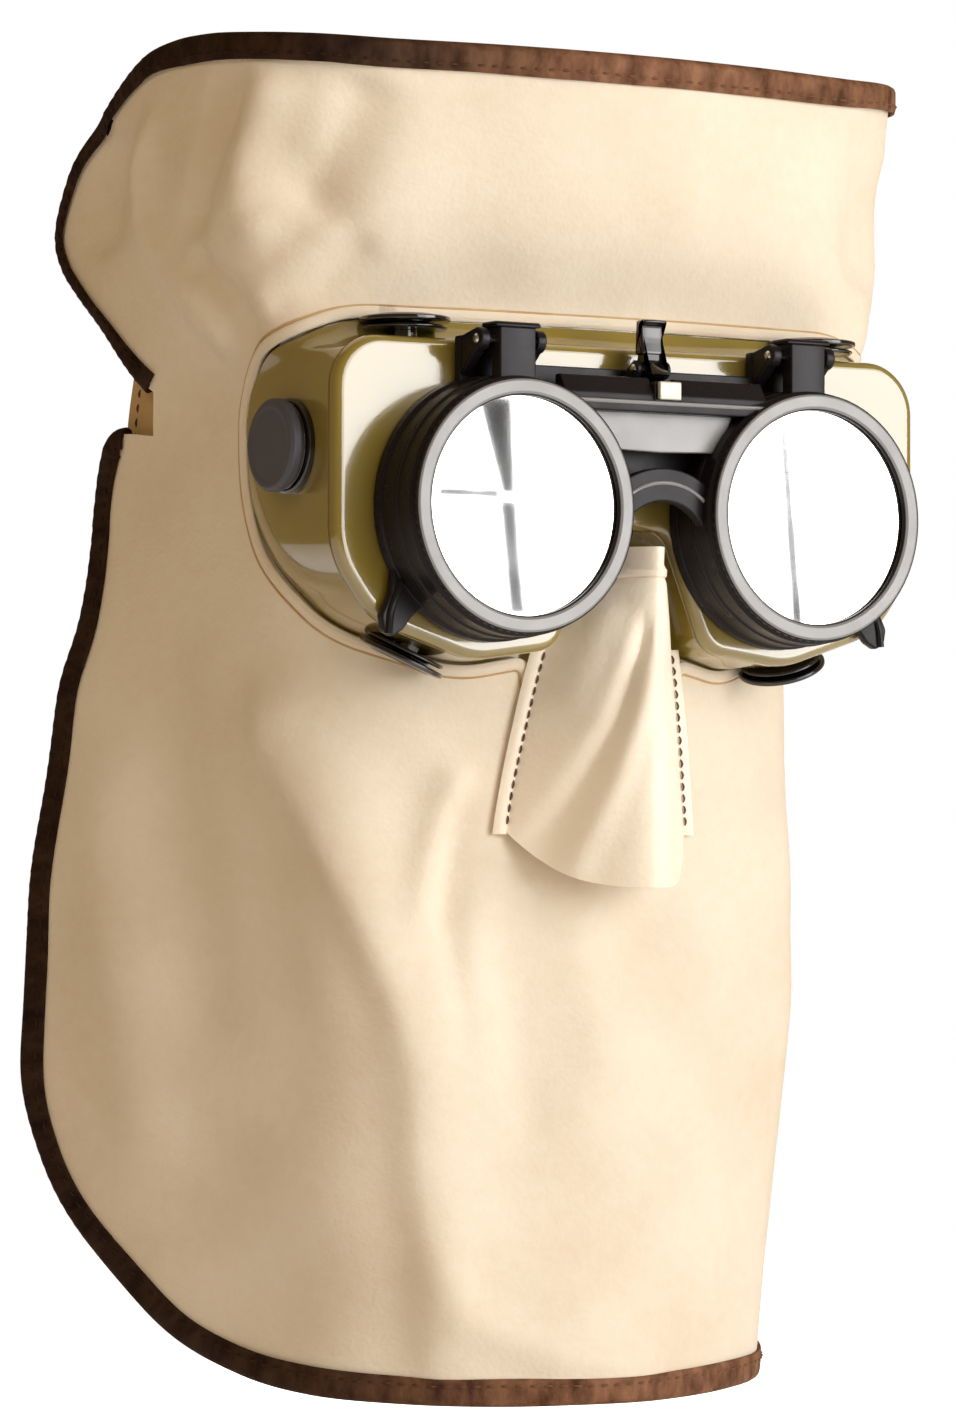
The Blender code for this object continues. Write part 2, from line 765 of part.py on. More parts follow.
def make_vent(name, body, tree, place, normal, sizes):
    """A vent: a seat plugged through the shell, and a broad cap snapped over its neck."""
    radius, seat_radius, slot, cap = sizes
    seat_lift = wall_rise(tree, place, normal, seat_radius) + vent_clearance
    cap_lift = max(seat_lift + vent_plate + slot - gap,
                   wall_rise(tree, place, normal, radius) + vent_clearance)
    neck = vent_neck / 2
    inner = neck - body_wall * 0.6
    depth = body_wall + body_edge / 2
    shape(body, seated(disc_solid(name + "_hole", neck + gap, -body_edge * 2, body_edge * 2,
                                  steps=20), place, normal))
    seat = add_piece("vent_seat_" + name, seated(turned("seat", [
        (inner, -depth), (neck, -depth), (neck, seat_lift), (seat_radius, seat_lift),
        (seat_radius, seat_lift + vent_plate), (neck, seat_lift + vent_plate),
        (neck, cap_lift + vent_plate), (inner, cap_lift + vent_plate)], steps=20),
        place, normal))
    paint(seat, (0.02, 0.018, 0.02), 0.45)
    top = cap_lift + vent_plate + gap + cap
    bore = neck + gap
    cover = add_piece("vent_cap_" + name, seated(turned("cap", [
        (0.0, top - cap), (bore, top - cap), (bore, cap_lift), (radius, cap_lift),
        (radius, top - cap / 3), (radius - cap / 3, top), (0.0, top)], steps=28),
        place, normal))
    paint(cover, (0.03, 0.028, 0.032), 0.4)


def make_body():
    """The soft shell, its eye openings, and its six vents."""
    rings = body_rings()
    body = add_piece("goggle_body", ring_solid("goggle_body", [r.tolist() for r in rings]))
    paint(body, (0.62, 0.52, 0.20), 0.3, clearcoat=0.5)
    count = len(rings[0])
    walls = [Vector(point) for ring in rings[2:6] for point in ring]
    faces = [(r * count + i, r * count + (i + 1) % count,
              (r + 1) * count + (i + 1) % count, (r + 1) * count + i)
             for r in range(3) for i in range(count)]
    tree = BVHTree.FromPolygons(walls, faces)
    for side, word in ((-1, "right"), (1, "left")):
        window = disc_solid("window_" + word, window_radius, 0.0, body_front * 2)
        shape(body, along_y(window, side * lens_spacing / 2, 0.0, 0.0))
        lean = math.tan(lower_vent_lean)
        spots = (
            ("upper_", Vector((side * (body_half - upper_vent_inset), -upper_vent_forward, body_top)),
             Vector((0.0, 0.0, 1.0)), vent_sizes),
            ("lower_", Vector((side * (body_half - lower_vent_inset), -lower_vent_forward, -body_bottom)),
             Vector((side * lean, lean * 0.7, -1.0)).normalized(), vent_sizes),
            ("side_", Vector((side * body_half, -side_vent_forward, side_vent_height)),
             Vector((side, 0.0, 0.0)), side_vent_sizes))
        for name, target, axis, sizes in spots:
            place = tree.ray_cast(target + axis * body_edge * 4, -axis)[0]
            make_vent(name + word, body, tree, place, axis, sizes)


def lens_piece(name, word, radius, back, front, colour, roughness, inner=0.0, parent=None):
    """A lens or a gasket, a plain disc or washer on a lens axis."""
    if inner > 0.0:
        mesh = turned(name, [(inner, back), (radius, back), (radius, front), (inner, front)],
                      steps=28)
    else:
        mesh = disc_solid(name, radius, back, front, steps=36)
    side = -1 if word == "right" else 1
    piece = add_piece(name + "_" + word, along_y(mesh, side * lens_spacing / 2, 0.0, 0.0),
                      parent)
    paint(piece, colour, roughness)


def hinge_lug(name, centre, radius, back, foot, head, low, high):
    """A prism along X: a foot on a plate behind, tapering to a round eye about a pin."""
    forward, height = centre
    points = [(-back, foot)]
    for k in range(9):
        turn = math.pi * k / 8
        points.append((-forward - radius * math.sin(turn), height - radius * math.cos(turn)))
    points.append((-back, head))
    return prism(name, points, low, high, 'X')


def make_carrier():
    """The frame on the shell's front: two lens cups, a bridge, the hinge lugs and cheeks."""
    plate_front = body_front + gap + carrier_plate
    back = body_front + gap
    rim = carrier_radius
    half = lens_spacing / 2
    profile = [
        (0.0, back), (rim + carrier_flare, back), (rim + carrier_flare, plate_front),
        (rim, carrier_front - carrier_flare / 2), (rim - carrier_flare / 2, carrier_front),
        (0.0, carrier_front)]
    cups = [along_y(turned("cup_" + word, profile), side * half, 0.0, 0.0)
            for side, word in ((-1, "right"), (1, "left"))]
    carrier = add_piece("hinge_carrier", cups[0])
    paint(carrier, (0.022, 0.02, 0.022), 0.42)
    shape(carrier, cups[1], 'UNION')
    top = hinge_height + lug_radius / 2
    reach = half + lug_inside + lug_thickness + gap
    inner_reach = half - lug_inside - lug_thickness - gap
    foot = window_radius * 0.8
    plate = [(-reach, foot), (-inner_reach, foot), (-bridge_half, bridge_bottom),
             (bridge_half, bridge_bottom), (inner_reach, foot), (reach, foot), (reach, top),
             (inner_reach, top), (inner_reach, bridge_top), (-inner_reach, bridge_top),
             (-inner_reach, top), (-reach, top)]
    shape(carrier, prism("carrier_plate", plate, -back - gap / 3, -plate_front, 'Y'), 'UNION')
    root = plate_front - gap * 2
    for side in (-1, 1):
        for hand in (-1, 1):
            low, high = sorted((hand * lug_inside, hand * (lug_inside + lug_thickness)))
            lug = hinge_lug("lug", (hinge_forward, hinge_height), lug_radius, root,
                            carrier_radius, top - gap, side * half + low, side * half + high)
            shape(carrier, lug, 'UNION')
        low, high = sorted((side * cheek_inside, side * (cheek_inside + cheek_thickness)))
        cheek = hinge_lug("cheek", (latch_forward, latch_height), latch_hub, root,
                          latch_height - latch_hub * 2, bridge_top - gap * 3, low, high)
        shape(carrier, cheek, 'UNION')
        shape(carrier, make_strut(side), 'UNION')
    for side in (-1, 1):
        pin = disc_solid("pin_hole", pin_radius + pin_clearance, -bar_half, bar_half, steps=16)
        shape(carrier, along_x(pin, side * half, -hinge_forward, hinge_height))
        shape(carrier, stepped_bore("carrier_bore", side, inner_back - gap))
    hole = disc_solid("latch_hole", pin_radius + pin_clearance, -half / 2, half / 2, steps=16)
    shape(carrier, along_x(hole, 0.0, -latch_forward, latch_height))


def stepped_bore(name, side, step, wide=None, wide_step=None):
    """A cutter for a lens seat: a window, a step for the lens, and one for a ring."""
    bore = lens_radius + gap
    behind = body_front - overrun
    ahead = front_plane + overrun
    profile = [(0.0, behind), (window_radius, behind), (window_radius, step), (bore, step)]
    if wide is not None:
        profile += [(bore, wide_step), (wide, wide_step), (wide, ahead)]
    else:
        profile += [(bore, ahead)]
    profile.append((0.0, ahead))
    return along_y(turned(name, profile), side * lens_spacing / 2, 0.0, 0.0)


def make_strut(side):
    """A bracket from a cup down and out along the shell's front, above the lower vent."""
    half = lens_spacing / 2
    outline = [(side * (half + x * carrier_radius), z * carrier_radius)
               for x, z in strut_shares]
    back = body_front + gap * 2
    return prism("strut", outline, -back, -back - strut_thickness, 'Y')


def make_flip(axis):
    """The front frame that tips up: two filter holders, knuckles and a bridge."""
    half = lens_spacing / 2
    wide_bore = lens_radius + gap + ring_wall + gap
    step = ring_back - ring_skirt - gap
    profile = [
        (0.0, holder_back), (holder_radius + holder_flare, holder_back),
        (holder_radius + holder_flare, holder_back + ledge),
        (holder_radius, holder_front - ledge), (holder_radius - ledge, holder_front),
        (0.0, holder_front)]
    holders = [along_y(turned("holder_" + word, profile), side * half, 0.0, 0.0)
               for side, word in ((-1, "right"), (1, "left"))]
    flip = add_piece("flip_frame", holders[0], axis)
    paint(flip, (0.022, 0.02, 0.022), 0.38)
    shape(flip, holders[1], 'UNION')
    back = holder_back + gap
    notch = keeper_half + running_gap
    bar = [(-bar_half, bar_bottom), (bar_half, bar_bottom), (bar_half, bar_top),
           (notch, bar_top), (notch, keeper_top), (-notch, keeper_top), (-notch, bar_top),
           (-bar_half, bar_top)]
    shape(flip, prism("bar", bar, -back, -back - bar_depth, 'Y'), 'UNION')
    lip = [(-bar_half, bar_bottom - groove_width), (bar_half, bar_bottom - groove_width),
           (bar_half, bar_bottom + gap), (-bar_half, bar_bottom + gap)]
    shape(flip, prism("bar_lip", lip, -back - gap, -back - bar_depth - keeper_depth, 'Y'),
          'UNION')
    web = [(-web_half, web_bottom), (web_half, web_bottom), (bar_half * 0.95, bar_bottom),
           (-bar_half * 0.95, bar_bottom)]
    shape(flip, prism("web", web, -back - gap, -back - web_depth, 'Y'), 'UNION')
    arch = []
    for radius, order in ((arch_radius, 1), (arch_radius - arch_bar, -1)):
        turns = [(k / 10 - 0.5) * arch_angle for k in range(11)][::order]
        arch += [(radius * math.sin(turn), radius * math.cos(turn) - arch_drop)
                 for turn in turns]
    shape(flip, prism("arch", arch, -back - gap * 2, -back - arch_depth, 'Y'), 'UNION')
    for side in (-1, 1):
        shape(flip, make_knuckle(side * half), 'UNION')
        shape(flip, make_lip(side * half), 'UNION')
    for side in (-1, 1):
        pin = disc_solid("flip_pin_hole", pin_radius + pin_clearance, -bar_half, bar_half,
                         steps=16)
        shape(flip, along_x(pin, side * half, -hinge_forward, hinge_height))
        shape(flip, stepped_bore("flip_bore", side, holder_back + ledge, wide_bore, step))


def make_knuckle(middle):
    """The hinge block over a holder: a shank and an eye round the pin."""
    back = -holder_back - gap
    front = -hinge_forward - knuckle_reach
    outline = [(back, holder_radius * 0.93), (front, holder_radius * 0.93), (front, lip_level)]
    for k in range(9):
        turn = math.pi * k / 8
        outline.append((-hinge_forward + knuckle_radius * math.sin(turn),
                        hinge_height + knuckle_radius * math.cos(turn)))
    outline.append((back, hinge_height - knuckle_radius - gap))
    return prism("knuckle", outline, middle - knuckle_half, middle + knuckle_half, 'X')


def make_lip(middle):
    """The thumb lip along the top of a knuckle, a little wider than it."""
    front = -hinge_forward - knuckle_reach - gap
    back = -hinge_forward + knuckle_radius / 2
    half = knuckle_half + lip_overhang
    outline = [(back, lip_level), (front, lip_level), (front, lip_level + lip_thickness / 2),
               (front + lip_thickness / 2, lip_level + lip_thickness),
               (back, lip_level + lip_thickness)]
    return prism("lip", outline, middle - half, middle + half, 'X')


def make_hardware(axis):
    """The lenses, gaskets and pins, each held where the frames leave room for it."""
    for side, word in ((-1, "right"), (1, "left")):
        lens_piece("inner_lens", word, lens_radius, inner_back, inner_front,
                   (0.75, 0.80, 0.80), 0.05)
        lens_piece("inner_gasket", word, lens_radius, inner_gasket_front - gasket_thickness,
                   inner_gasket_front, (0.05, 0.05, 0.05), 0.8, inner=window_radius)
        lens_piece("filter_lens", word, lens_radius, filter_back, filter_front,
                   (0.03, 0.08, 0.05), 0.05, parent=axis)
        lens_piece("filter_gasket", word, lens_radius, filter_gasket_back,
                   filter_gasket_back + gasket_thickness, (0.05, 0.05, 0.05), 0.8,
                   inner=window_radius, parent=axis)
        lens_piece("cover_lens", word, lens_radius, cover_back, cover_front,
                   (0.85, 0.88, 0.90), 0.03, parent=axis)
        reach = lug_inside + lug_thickness
        pin = disc_solid("hinge_pin", pin_radius, -reach, reach, steps=16)
        place = (side * lens_spacing / 2, -hinge_forward, hinge_height)
        piece = add_piece("hinge_pin_" + word, along_x(pin, *place))
        paint(piece, (0.75, 0.75, 0.77), 0.25, metallic=1.0)


def make_rings(axis):
    """The two screw-in rings, each turning about its lens axis in its holder."""
    inner = lens_radius + gap
    outer = inner + ring_wall
    edge = ring_flange / 3
    for side, word in ((-1, "right"), (1, "left")):
        place = Vector((side * lens_spacing / 2, -front_plane, 0.0))
        turn = add_axis("ring_turn_" + word, place)
        turn.parent = axis
        turn.matrix_parent_inverse = Matrix.Translation(axis.location).inverted()
        mesh = turned("retaining_ring", [
            (inner, ring_back - ring_skirt), (outer, ring_back - ring_skirt),
            (outer, ring_back), (ring_radius, ring_back), (ring_radius, front_plane - edge),
            (ring_radius - edge, front_plane), (ring_opening + edge, front_plane),
            (ring_opening, front_plane - edge), (ring_opening, ring_back), (inner, ring_back)],
            steps=40)
        ring = bpy.data.objects.new("retaining_ring_" + word,
                                    along_y(mesh, side * lens_spacing / 2, 0.0, 0.0))
        bpy.context.scene.collection.objects.link(ring)
        ring.parent = turn
        ring.matrix_parent_inverse = Matrix.Translation(place).inverted()
        paint(ring, (0.55, 0.55, 0.56), 0.35, metallic=0.6)


def make_latch(flip_axis):
    """The sprung catch between the lenses: a pin, a spring, a lever and its keeper."""
    reach = cheek_inside + cheek_thickness
    pin = disc_solid("latch_pin", pin_radius, -reach, reach, steps=16)
    piece = add_piece("latch_pin", along_x(pin, 0.0, -latch_forward, latch_height))
    paint(piece, (0.75, 0.75, 0.77), 0.25, metallic=1.0)
    axis = add_axis("latch_hinge", (0.0, -latch_forward, latch_height))
    rise = latch_top - latch_height
    thick = latch_thickness / 2
    outline = [
        (thick * 1.2, rise), (-thick * 0.6, rise), (-thick * 1.4, rise * 0.6),
        (-thick * 2.4, latch_hub * 0.8), (-latch_reach + thick, latch_tip - latch_height + thick),
        (-latch_reach, latch_tip - latch_height), (-latch_reach + thick, latch_tip
                                                   - latch_height - thick / 2),
        (-latch_hub, -latch_hub * 0.7), (0.0, -latch_hub), (latch_hub * 0.75, -latch_hub * 0.7),
        (latch_hub, 0.0), (latch_hub * 0.9, latch_hub * 0.8), (thick * 1.5, rise * 0.45),
        (thick * 1.4, rise - latch_lip * 1.5), (thick * 2.6, rise - latch_lip / 2),
        (thick * 2.6, rise)]
    mesh = prism("latch_lever", outline, -latch_half, latch_half, 'X')
    mesh.transform(Matrix.Translation(axis.location))
    lever = add_piece("latch_lever", mesh, axis)
    paint(lever, (0.03, 0.028, 0.03), 0.4)
    room = spring_radius + spring_wire + gap
    place = (0.0, -latch_forward, latch_height)
    shape(lever, along_x(disc_solid("spring_room", room, spring_start - gap,
                                    latch_half + overrun, steps=20), *place))
    shape(lever, along_x(disc_solid("lever_hole", pin_radius + pin_clearance,
                                    -latch_half - overrun, latch_half, steps=16), *place))
    front = holder_back + gap + bar_depth + gap
    keeper_low = (-keeper_half, -front - keeper_depth, bar_bottom + gap * 2)
    keeper_high = (keeper_half, -front, keeper_top)
    keeper = add_piece("latch_keeper", block("latch_keeper", keeper_low, keeper_high),
                       flip_axis)
    paint(keeper, (0.6, 0.6, 0.62), 0.35, metallic=0.5)
    turns = np.arange(spring_turns * 12 + 1) / 12
    pitch = spring_wire * 2 + gap / 3
    angle = turns * math.tau
    ring_angle = np.arange(5) * math.tau / 5
    rings = []
    for turn, place_angle in zip(turns, angle):
        across = spring_start + spring_wire + pitch * turn
        out = spring_radius + spring_wire * np.cos(ring_angle)
        rings.append(np.stack([across + spring_wire * np.sin(ring_angle),
                               -latch_forward + out * math.cos(place_angle),
                               latch_height + out * math.sin(place_angle)], axis=1).tolist())
    spring = add_piece("latch_spring", ring_solid("latch_spring", rings))
    paint(spring, (0.7, 0.7, 0.72), 0.3, metallic=1.0)


def strap_solid(name, low, high, thickness):
    """A strap of even thickness between a lower and an upper line."""
    middle = (low + high) / 2
    tangents = np.gradient(middle, axis=0)
    outward = np.cross(tangents, high - low)
    outward *= thickness / 2 / np.linalg.norm(outward, axis=1)[:, None]
    corners = [low - outward, low + outward, high + outward, high - outward]
    return ring_solid(name, [[line[i].tolist() for line in corners]
                             for i in range(len(low))])


def make_straps():
    """The temple tabs sewn behind the sheet, the headband between them, its slider."""
    behind = -leather / 2 - binding_slack - binding_wall - flange_gap
    tab_end = jaw_half - tab_inset
    tab_start = tab_end - tab_length
    corners = [(tab_start, tab_middle + tab_half, tab_round),
               (tab_start, tab_middle - tab_half, tab_round),
               (tab_end, tab_middle - tab_half, tab_round),
               (tab_end, tab_middle + tab_half, tab_round)]
    outline = rounded_outline(corners, [2, 3, 2])
    for side, word in ((-1, "right"), (1, "left")):
        def place(across, height, side=side):
            return guard_point(across * side, height, behind - tab_thickness / 2)
        tab = sheet_solid("temple_tab_" + word, [outline], pattern_pitch, place, tab_thickness)
        paint(tab, (0.55, 0.36, 0.22), 0.7)
    inside = behind - tab_thickness - band_thickness / 2 - flange_gap - gap
    lines = []
    for end in (-1, 1):
        level = tab_middle + end * band_width / 2
        sewn = guard_point(np.array([tab_start, tab_start + band_sewn]), [level] * 2, inside)
        bend = sewn[1] * 2 - sewn[0] + np.array([-band_tuck, 0.0, 0.0])
        half = [*sewn, bend, (band_turn_across, band_turn_back, level),
                (band_flat_half, band_back, level), (band_flat_half - band_tuck, band_back, level),
                (slider_half, band_back, level)]
        line = smooth_line(half, 4)
        lines.append(np.vstack([line * (-1, 1, 1), line[::-1]]))
    band = add_piece("headband", strap_solid("headband", lines[0], lines[1], band_thickness))
    paint(band, (0.05, 0.05, 0.055), 0.85)
    high = band_width / 2 + slider_wall
    deep = band_thickness / 2 + slider_wall
    slider = add_piece("band_slider", block("band_slider", (
        -slider_half, band_back - deep, tab_middle - high), (
        slider_half, band_back + deep, tab_middle + high)))
    paint(slider, (0.03, 0.03, 0.032), 0.4)
    slot = (slider_half + overrun, band_thickness / 2 + gap, band_width / 2 + gap)
    middle = (0.0, band_back, tab_middle)
    shape(slider, block("band_slot", [m - s for m, s in zip(middle, slot)],
                        [m + s for m, s in zip(middle, slot)]))
    opening = (slider_half - slider_bridge, deep + overrun, band_width / 2 - slider_wall)
    shape(slider, block("slider_window", (-opening[0], band_back, tab_middle - opening[2]), (
        opening[0], band_back + opening[1], tab_middle + opening[2])))


make_guard()
make_bindings()
make_nose_cover()
make_body()
make_carrier()
hinge_axis = add_axis("flip_hinge", (0.0, -hinge_forward, hinge_height))
make_flip(hinge_axis)
make_hardware(hinge_axis)
make_rings(hinge_axis)
make_latch(hinge_axis)
make_straps()
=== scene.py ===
"""Round-lens goggles in a leather face guard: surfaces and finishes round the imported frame."""

import math

import bmesh
import bpy
import numpy as np
from mathutils import Matrix, Vector
from mathutils.geometry import delaunay_2d_cdt


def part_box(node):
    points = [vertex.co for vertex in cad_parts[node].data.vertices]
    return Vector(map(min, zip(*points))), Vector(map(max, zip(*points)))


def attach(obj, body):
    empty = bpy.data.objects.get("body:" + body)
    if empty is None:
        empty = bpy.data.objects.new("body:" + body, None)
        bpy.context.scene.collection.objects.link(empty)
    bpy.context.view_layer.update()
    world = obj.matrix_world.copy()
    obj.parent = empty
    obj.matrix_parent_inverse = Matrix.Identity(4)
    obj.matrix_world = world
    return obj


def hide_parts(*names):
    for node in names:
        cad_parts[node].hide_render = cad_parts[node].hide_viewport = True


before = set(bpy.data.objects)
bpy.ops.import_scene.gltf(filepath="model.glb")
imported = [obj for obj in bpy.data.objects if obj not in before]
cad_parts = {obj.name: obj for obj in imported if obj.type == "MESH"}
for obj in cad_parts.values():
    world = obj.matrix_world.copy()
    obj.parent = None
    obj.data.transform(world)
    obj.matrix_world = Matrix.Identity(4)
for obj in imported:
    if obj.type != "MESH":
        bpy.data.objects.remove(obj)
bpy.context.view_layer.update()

mm = 0.001

# Sizes read from the frame
ring_low, ring_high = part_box("retaining_ring_left")
lens_across = (ring_low.x + ring_high.x) / 2
front_plane = -ring_low.y
ring_radius = (ring_high.x - ring_low.x) / 2
pin_low, pin_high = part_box("hinge_pin_left")
hinge_forward = -(pin_low.y + pin_high.y) / 2
hinge_height = (pin_low.z + pin_high.z) / 2
latch_low, latch_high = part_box("latch_pin")
latch_forward = -(latch_low.y + latch_high.y) / 2
latch_height = (latch_low.z + latch_high.z) / 2

# Leather sheet
guard_rise = 103.0 * mm
guard_drop = 199.5 * mm
jaw_half = 148.0 * mm
brow_half = 173.5 * mm
guard_setback = 42.0 * mm
leather = 1.4 * mm
fold_height = 4.5 * mm
fold_width = 11.0 * mm
sheet_pitch = 2.1 * mm
edge_pitch = 2.0 * mm
opening_clearance = 0.8 * mm
small_step = 0.5 * mm

# The bent sheet at ten heights, as shares: height of the rise or drop, how far forward of the
# setback, bow, flat run and bend of the jaw half-width, and the final turn of a right angle.
guard_level_shares = np.array([
    (-1.00, 0.619, 1.92, 0.306, 0.188, 0.689),
    (-0.73, 0.643, 1.47, 0.328, 0.172, 0.689),
    (-0.45, 0.526, 0.78, 0.318, 0.175, 0.711),
    (-0.32, 0.512, 0.78, 0.322, 0.185, 0.733),
    (-0.18, 0.619, 1.45, 0.385, 0.185, 0.767),
    (0.00, 0.667, 0.82, 0.382, 0.174, 0.844),
    (0.29, 0.690, 0.42, 0.376, 0.218, 0.878),
    (0.44, 0.645, 0.44, 0.480, 0.150, 0.950),
    (0.60, 0.845, 0.74, 0.432, 0.284, 0.967),
    (1.00, 1.000, 0.67, 0.432, 0.324, 0.967),
])

# The flat pattern's edge, from the brow's middle to the temple slit and from there to the chin,
# as shares of the brow or jaw half-width and of the rise or drop.
brow_edge_shares = [
    (0.00, 0.992), (0.20, 0.993), (0.38, 0.996), (0.53, 1.010), (0.63, 1.022),
    (0.70, 1.022), (0.77, 1.000), (0.84, 0.942), (0.911, 0.865), (0.959, 0.797),
    (0.985, 0.710), (0.984, 0.640), (0.957, 0.580), (0.918, 0.528), (0.862, 0.456),
    (0.805, 0.380), (0.740, 0.300), (0.724, 0.284),
]
jaw_edge_shares = [
    (0.845, 0.187), (0.932, 0.192), (0.957, 0.120), (0.962, 0.030), (0.954, -0.020),
    (0.940, -0.075), (0.936, -0.130), (0.952, -0.200), (0.972, -0.310), (0.994, -0.440),
    (1.002, -0.570), (0.994, -0.660), (0.958, -0.737), (0.896, -0.806), (0.808, -0.874),
    (0.706, -0.935), (0.593, -0.970), (0.470, -0.988), (0.330, -0.996), (0.160, -1.000),
    (0.000, -1.000),
]

# Folds that both sides share, as shares: start across and height, end across and height, size
# of the fold height and width of the fold width.
fold_shares = [
    (0.65, 0.48, 0.74, 0.86, 0.80, 1.0),
    (0.54, 0.54, 0.60, 0.94, -0.60, 1.1),
    (0.16, -0.36, 0.30, -0.72, 0.50, 1.2),
    (0.50, -0.28, 0.36, -0.66, 0.45, 1.2),
]

# Creases of the worn sheet, in millimetres: lift, widths toward the wearer's left and right,
# and the places that the line passes, across and height.
creases = [
    (3.9, 3.5, 4.5, [(-127, 97), (-133, 78), (-131, 67), (-118, 55), (-99, 40), (-90, 29)]),
    (-4.4, 6.0, 4.5, [(-99, 100), (-103, 84), (-108, 68), (-113, 61)]),
    (-3.1, 3.5, 3.0, [(-111, 60), (-98, 49), (-86, 36)]),
    (4.3, 7.5, 5.5, [(-88, 100), (-94, 80), (-92, 68), (-84, 56)]),
    (-3.5, 9.0, 6.5, [(-66, 98), (-72, 78), (-80, 64)]),
    (-1.8, 5.0, 4.5, [(-62, 62), (-72, 50), (-86, 44)]),
    (-2.8, 7.0, 8.0, [(-146, 92), (-151, 74), (-150, 60)]),
    (4.2, 11.0, 4.5, [(-83, -30), (-80, -52), (-68, -70), (-58, -89), (-51, -109), (-46, -126)]),
    (3.4, 12.0, 6.5, [(-52, -104), (-46, -126), (-45, -143), (-42, -165), (-38, -204)]),
    (2.6, 3.5, 5.0, [(-33, -54), (-43, -80), (-47, -98)]),
    (-2.2, 5.0, 3.0, [(-32, -58), (-36, -70), (-39, -90), (-37, -106), (-33, -126)]),
    (-2.2, 9.0, 7.0, [(-24, -84), (-24, -112), (-16, -146)]),
    (1.8, 9.0, 7.0, [(-6, -78), (-4, -104), (2, -134)]),
    (2.4, 5.0, 6.0, [(-44, -158), (-34, -180), (-12, -190), (24, -193)]),
    (1.8, 12.0, 10.0, [(-128, -40), (-124, -90), (-110, -160)]),
    (-2.0, 10.0, 10.0, [(-112, -8), (-106, -60), (-96, -130)]),
    (2.4, 7.0, 8.0, [(86, 98), (92, 76), (98, 44)]),
    (-2.2, 8.0, 9.0, [(66, 98), (72, 76), (80, 54)]),
    (-1.6, 9.0, 9.0, [(84, -34), (72, -66), (58, -96), (50, -130), (42, -180)]),
    (-1.8, 10.0, 12.0, [(112, -20), (108, -80), (98, -140)]),
]

# Hollows and swells, in millimetres: centre across and height, half-widths, and lift.
hollows = [
    (-6, -160, 24, 18, -2.4),
    (-30, 80, 40, 20, 0.8),
    (-100, -126, 20, 30, -1.2),
    (-84, -10, 12, 26, 0.8),
    (40, -120, 30, 36, 0.9),
]

# Goggle shell: outline corners as shares of its half-width and of its top or bottom height,
# with the corner radius as a share of the half-width.
body_half = 78.0 * mm
body_top = 37.8 * mm
body_bottom = 33.7 * mm
body_front = 38.0 * mm
body_wall = 1.8 * mm
body_edge = 2.0 * mm
bead_width = 1.5 * mm
rim_half = 92.5 * mm
rim_top = 42.5 * mm
rim_bottom = 34.3 * mm
flange_width = 5.5 * mm
flange_thickness = 1.4 * mm
flange_gap = 1.2 * mm
bead_pinch = 1.0 * mm
front_corner_shares = np.array([
    (0.90, 1.00, 0.15), (1.00, 0.83, 0.15), (1.00, -0.33, 0.26), (0.87, -0.75, 0.26),
    (0.54, -1.00, 0.26), (0.26, -0.91, 0.10), (0.12, -0.10, 0.08),
])
rim_corner_shares = np.array([
    (0.70, 1.00, 0.39), (1.016, 0.76, 0.19), (0.987, -0.01, 0.44), (0.696, -0.743, 0.35),
    (0.40, -1.00, 0.27), (0.227, -0.905, 0.08), (0.115, -0.10, 0.07),
])
side_counts = [14, 4, 8, 5, 4, 4, 6]
window_cut = 6 * mm

# Lens stack, as distances forward of the face
lens_radius = 25.0 * mm
window_radius = 23.6 * mm
gap = 0.3 * mm
ring_flange = 1.4 * mm
ring_skirt = 2.8 * mm
ring_wall = 1.3 * mm
ring_opening = 24.3 * mm
holder_radius = 28.8 * mm
holder_flare = 0.4 * mm
ledge = 0.9 * mm
carrier_radius = 29.0 * mm
carrier_flare = 0.6 * mm
carrier_plate = 2.4 * mm
ring_back = front_plane - ring_flange
holder_front = ring_back - gap
holder_back = -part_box("filter_gasket_left")[1].y - gap - ledge
carrier_front = holder_back - gap
carrier_back = body_front + gap
inner_back = -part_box("inner_lens_left")[1].y
flip_bore = lens_radius + gap + ring_wall + gap
knurl_teeth = 84
knurl_depth = 0.25 * mm

# Hinge, bridge and latch
pin_radius = 1.0 * mm
knuckle_half = 4.7 * mm
knuckle_radius = 4.0 * mm
knuckle_reach = 4.0 * mm
lip_level = 39.6 * mm
lip_overhang = 1.2 * mm
lip_thickness = 1.2 * mm
lug_inside = 6.2 * mm
lug_thickness = 2.3 * mm
lug_radius = 2.6 * mm
bar_half = 21.5 * mm
bar_top = 30.2 * mm
bar_bottom = 24.5 * mm
bar_depth = 4.5 * mm
groove = 1.2 * mm
web_half = 16.0 * mm
web_bottom = 13.5 * mm
web_depth = 2.0 * mm
arch_radius = 20.0 * mm
arch_bar = 7.5 * mm
arch_depth = 3.6 * mm
arch_drop = 10.0 * mm
arch_angle = 1.9
bridge_top = 32.6 * mm
bridge_bottom = 3.5 * mm
latch_half = 2.4 * mm
latch_hub = 2.0 * mm
latch_reach = 5.0 * mm
latch_top = 43.6 * mm
latch_tip = 31.2 * mm
latch_thickness = 1.6 * mm
latch_lip = 1.4 * mm
pin_head = 1.15 * mm
bar_overlap = 5.5 * mm
cheek_inside = 3.0 * mm
cheek_thickness = 1.5 * mm
keeper_half = 2.9 * mm
keeper_top = 29.2 * mm
keeper_depth = 1.2 * mm
spring_wire = 0.25 * mm
spring_radius = 1.6 * mm
spring_turns = 3
spring_start = 0.7 * mm
strut_thickness = 2.4 * mm
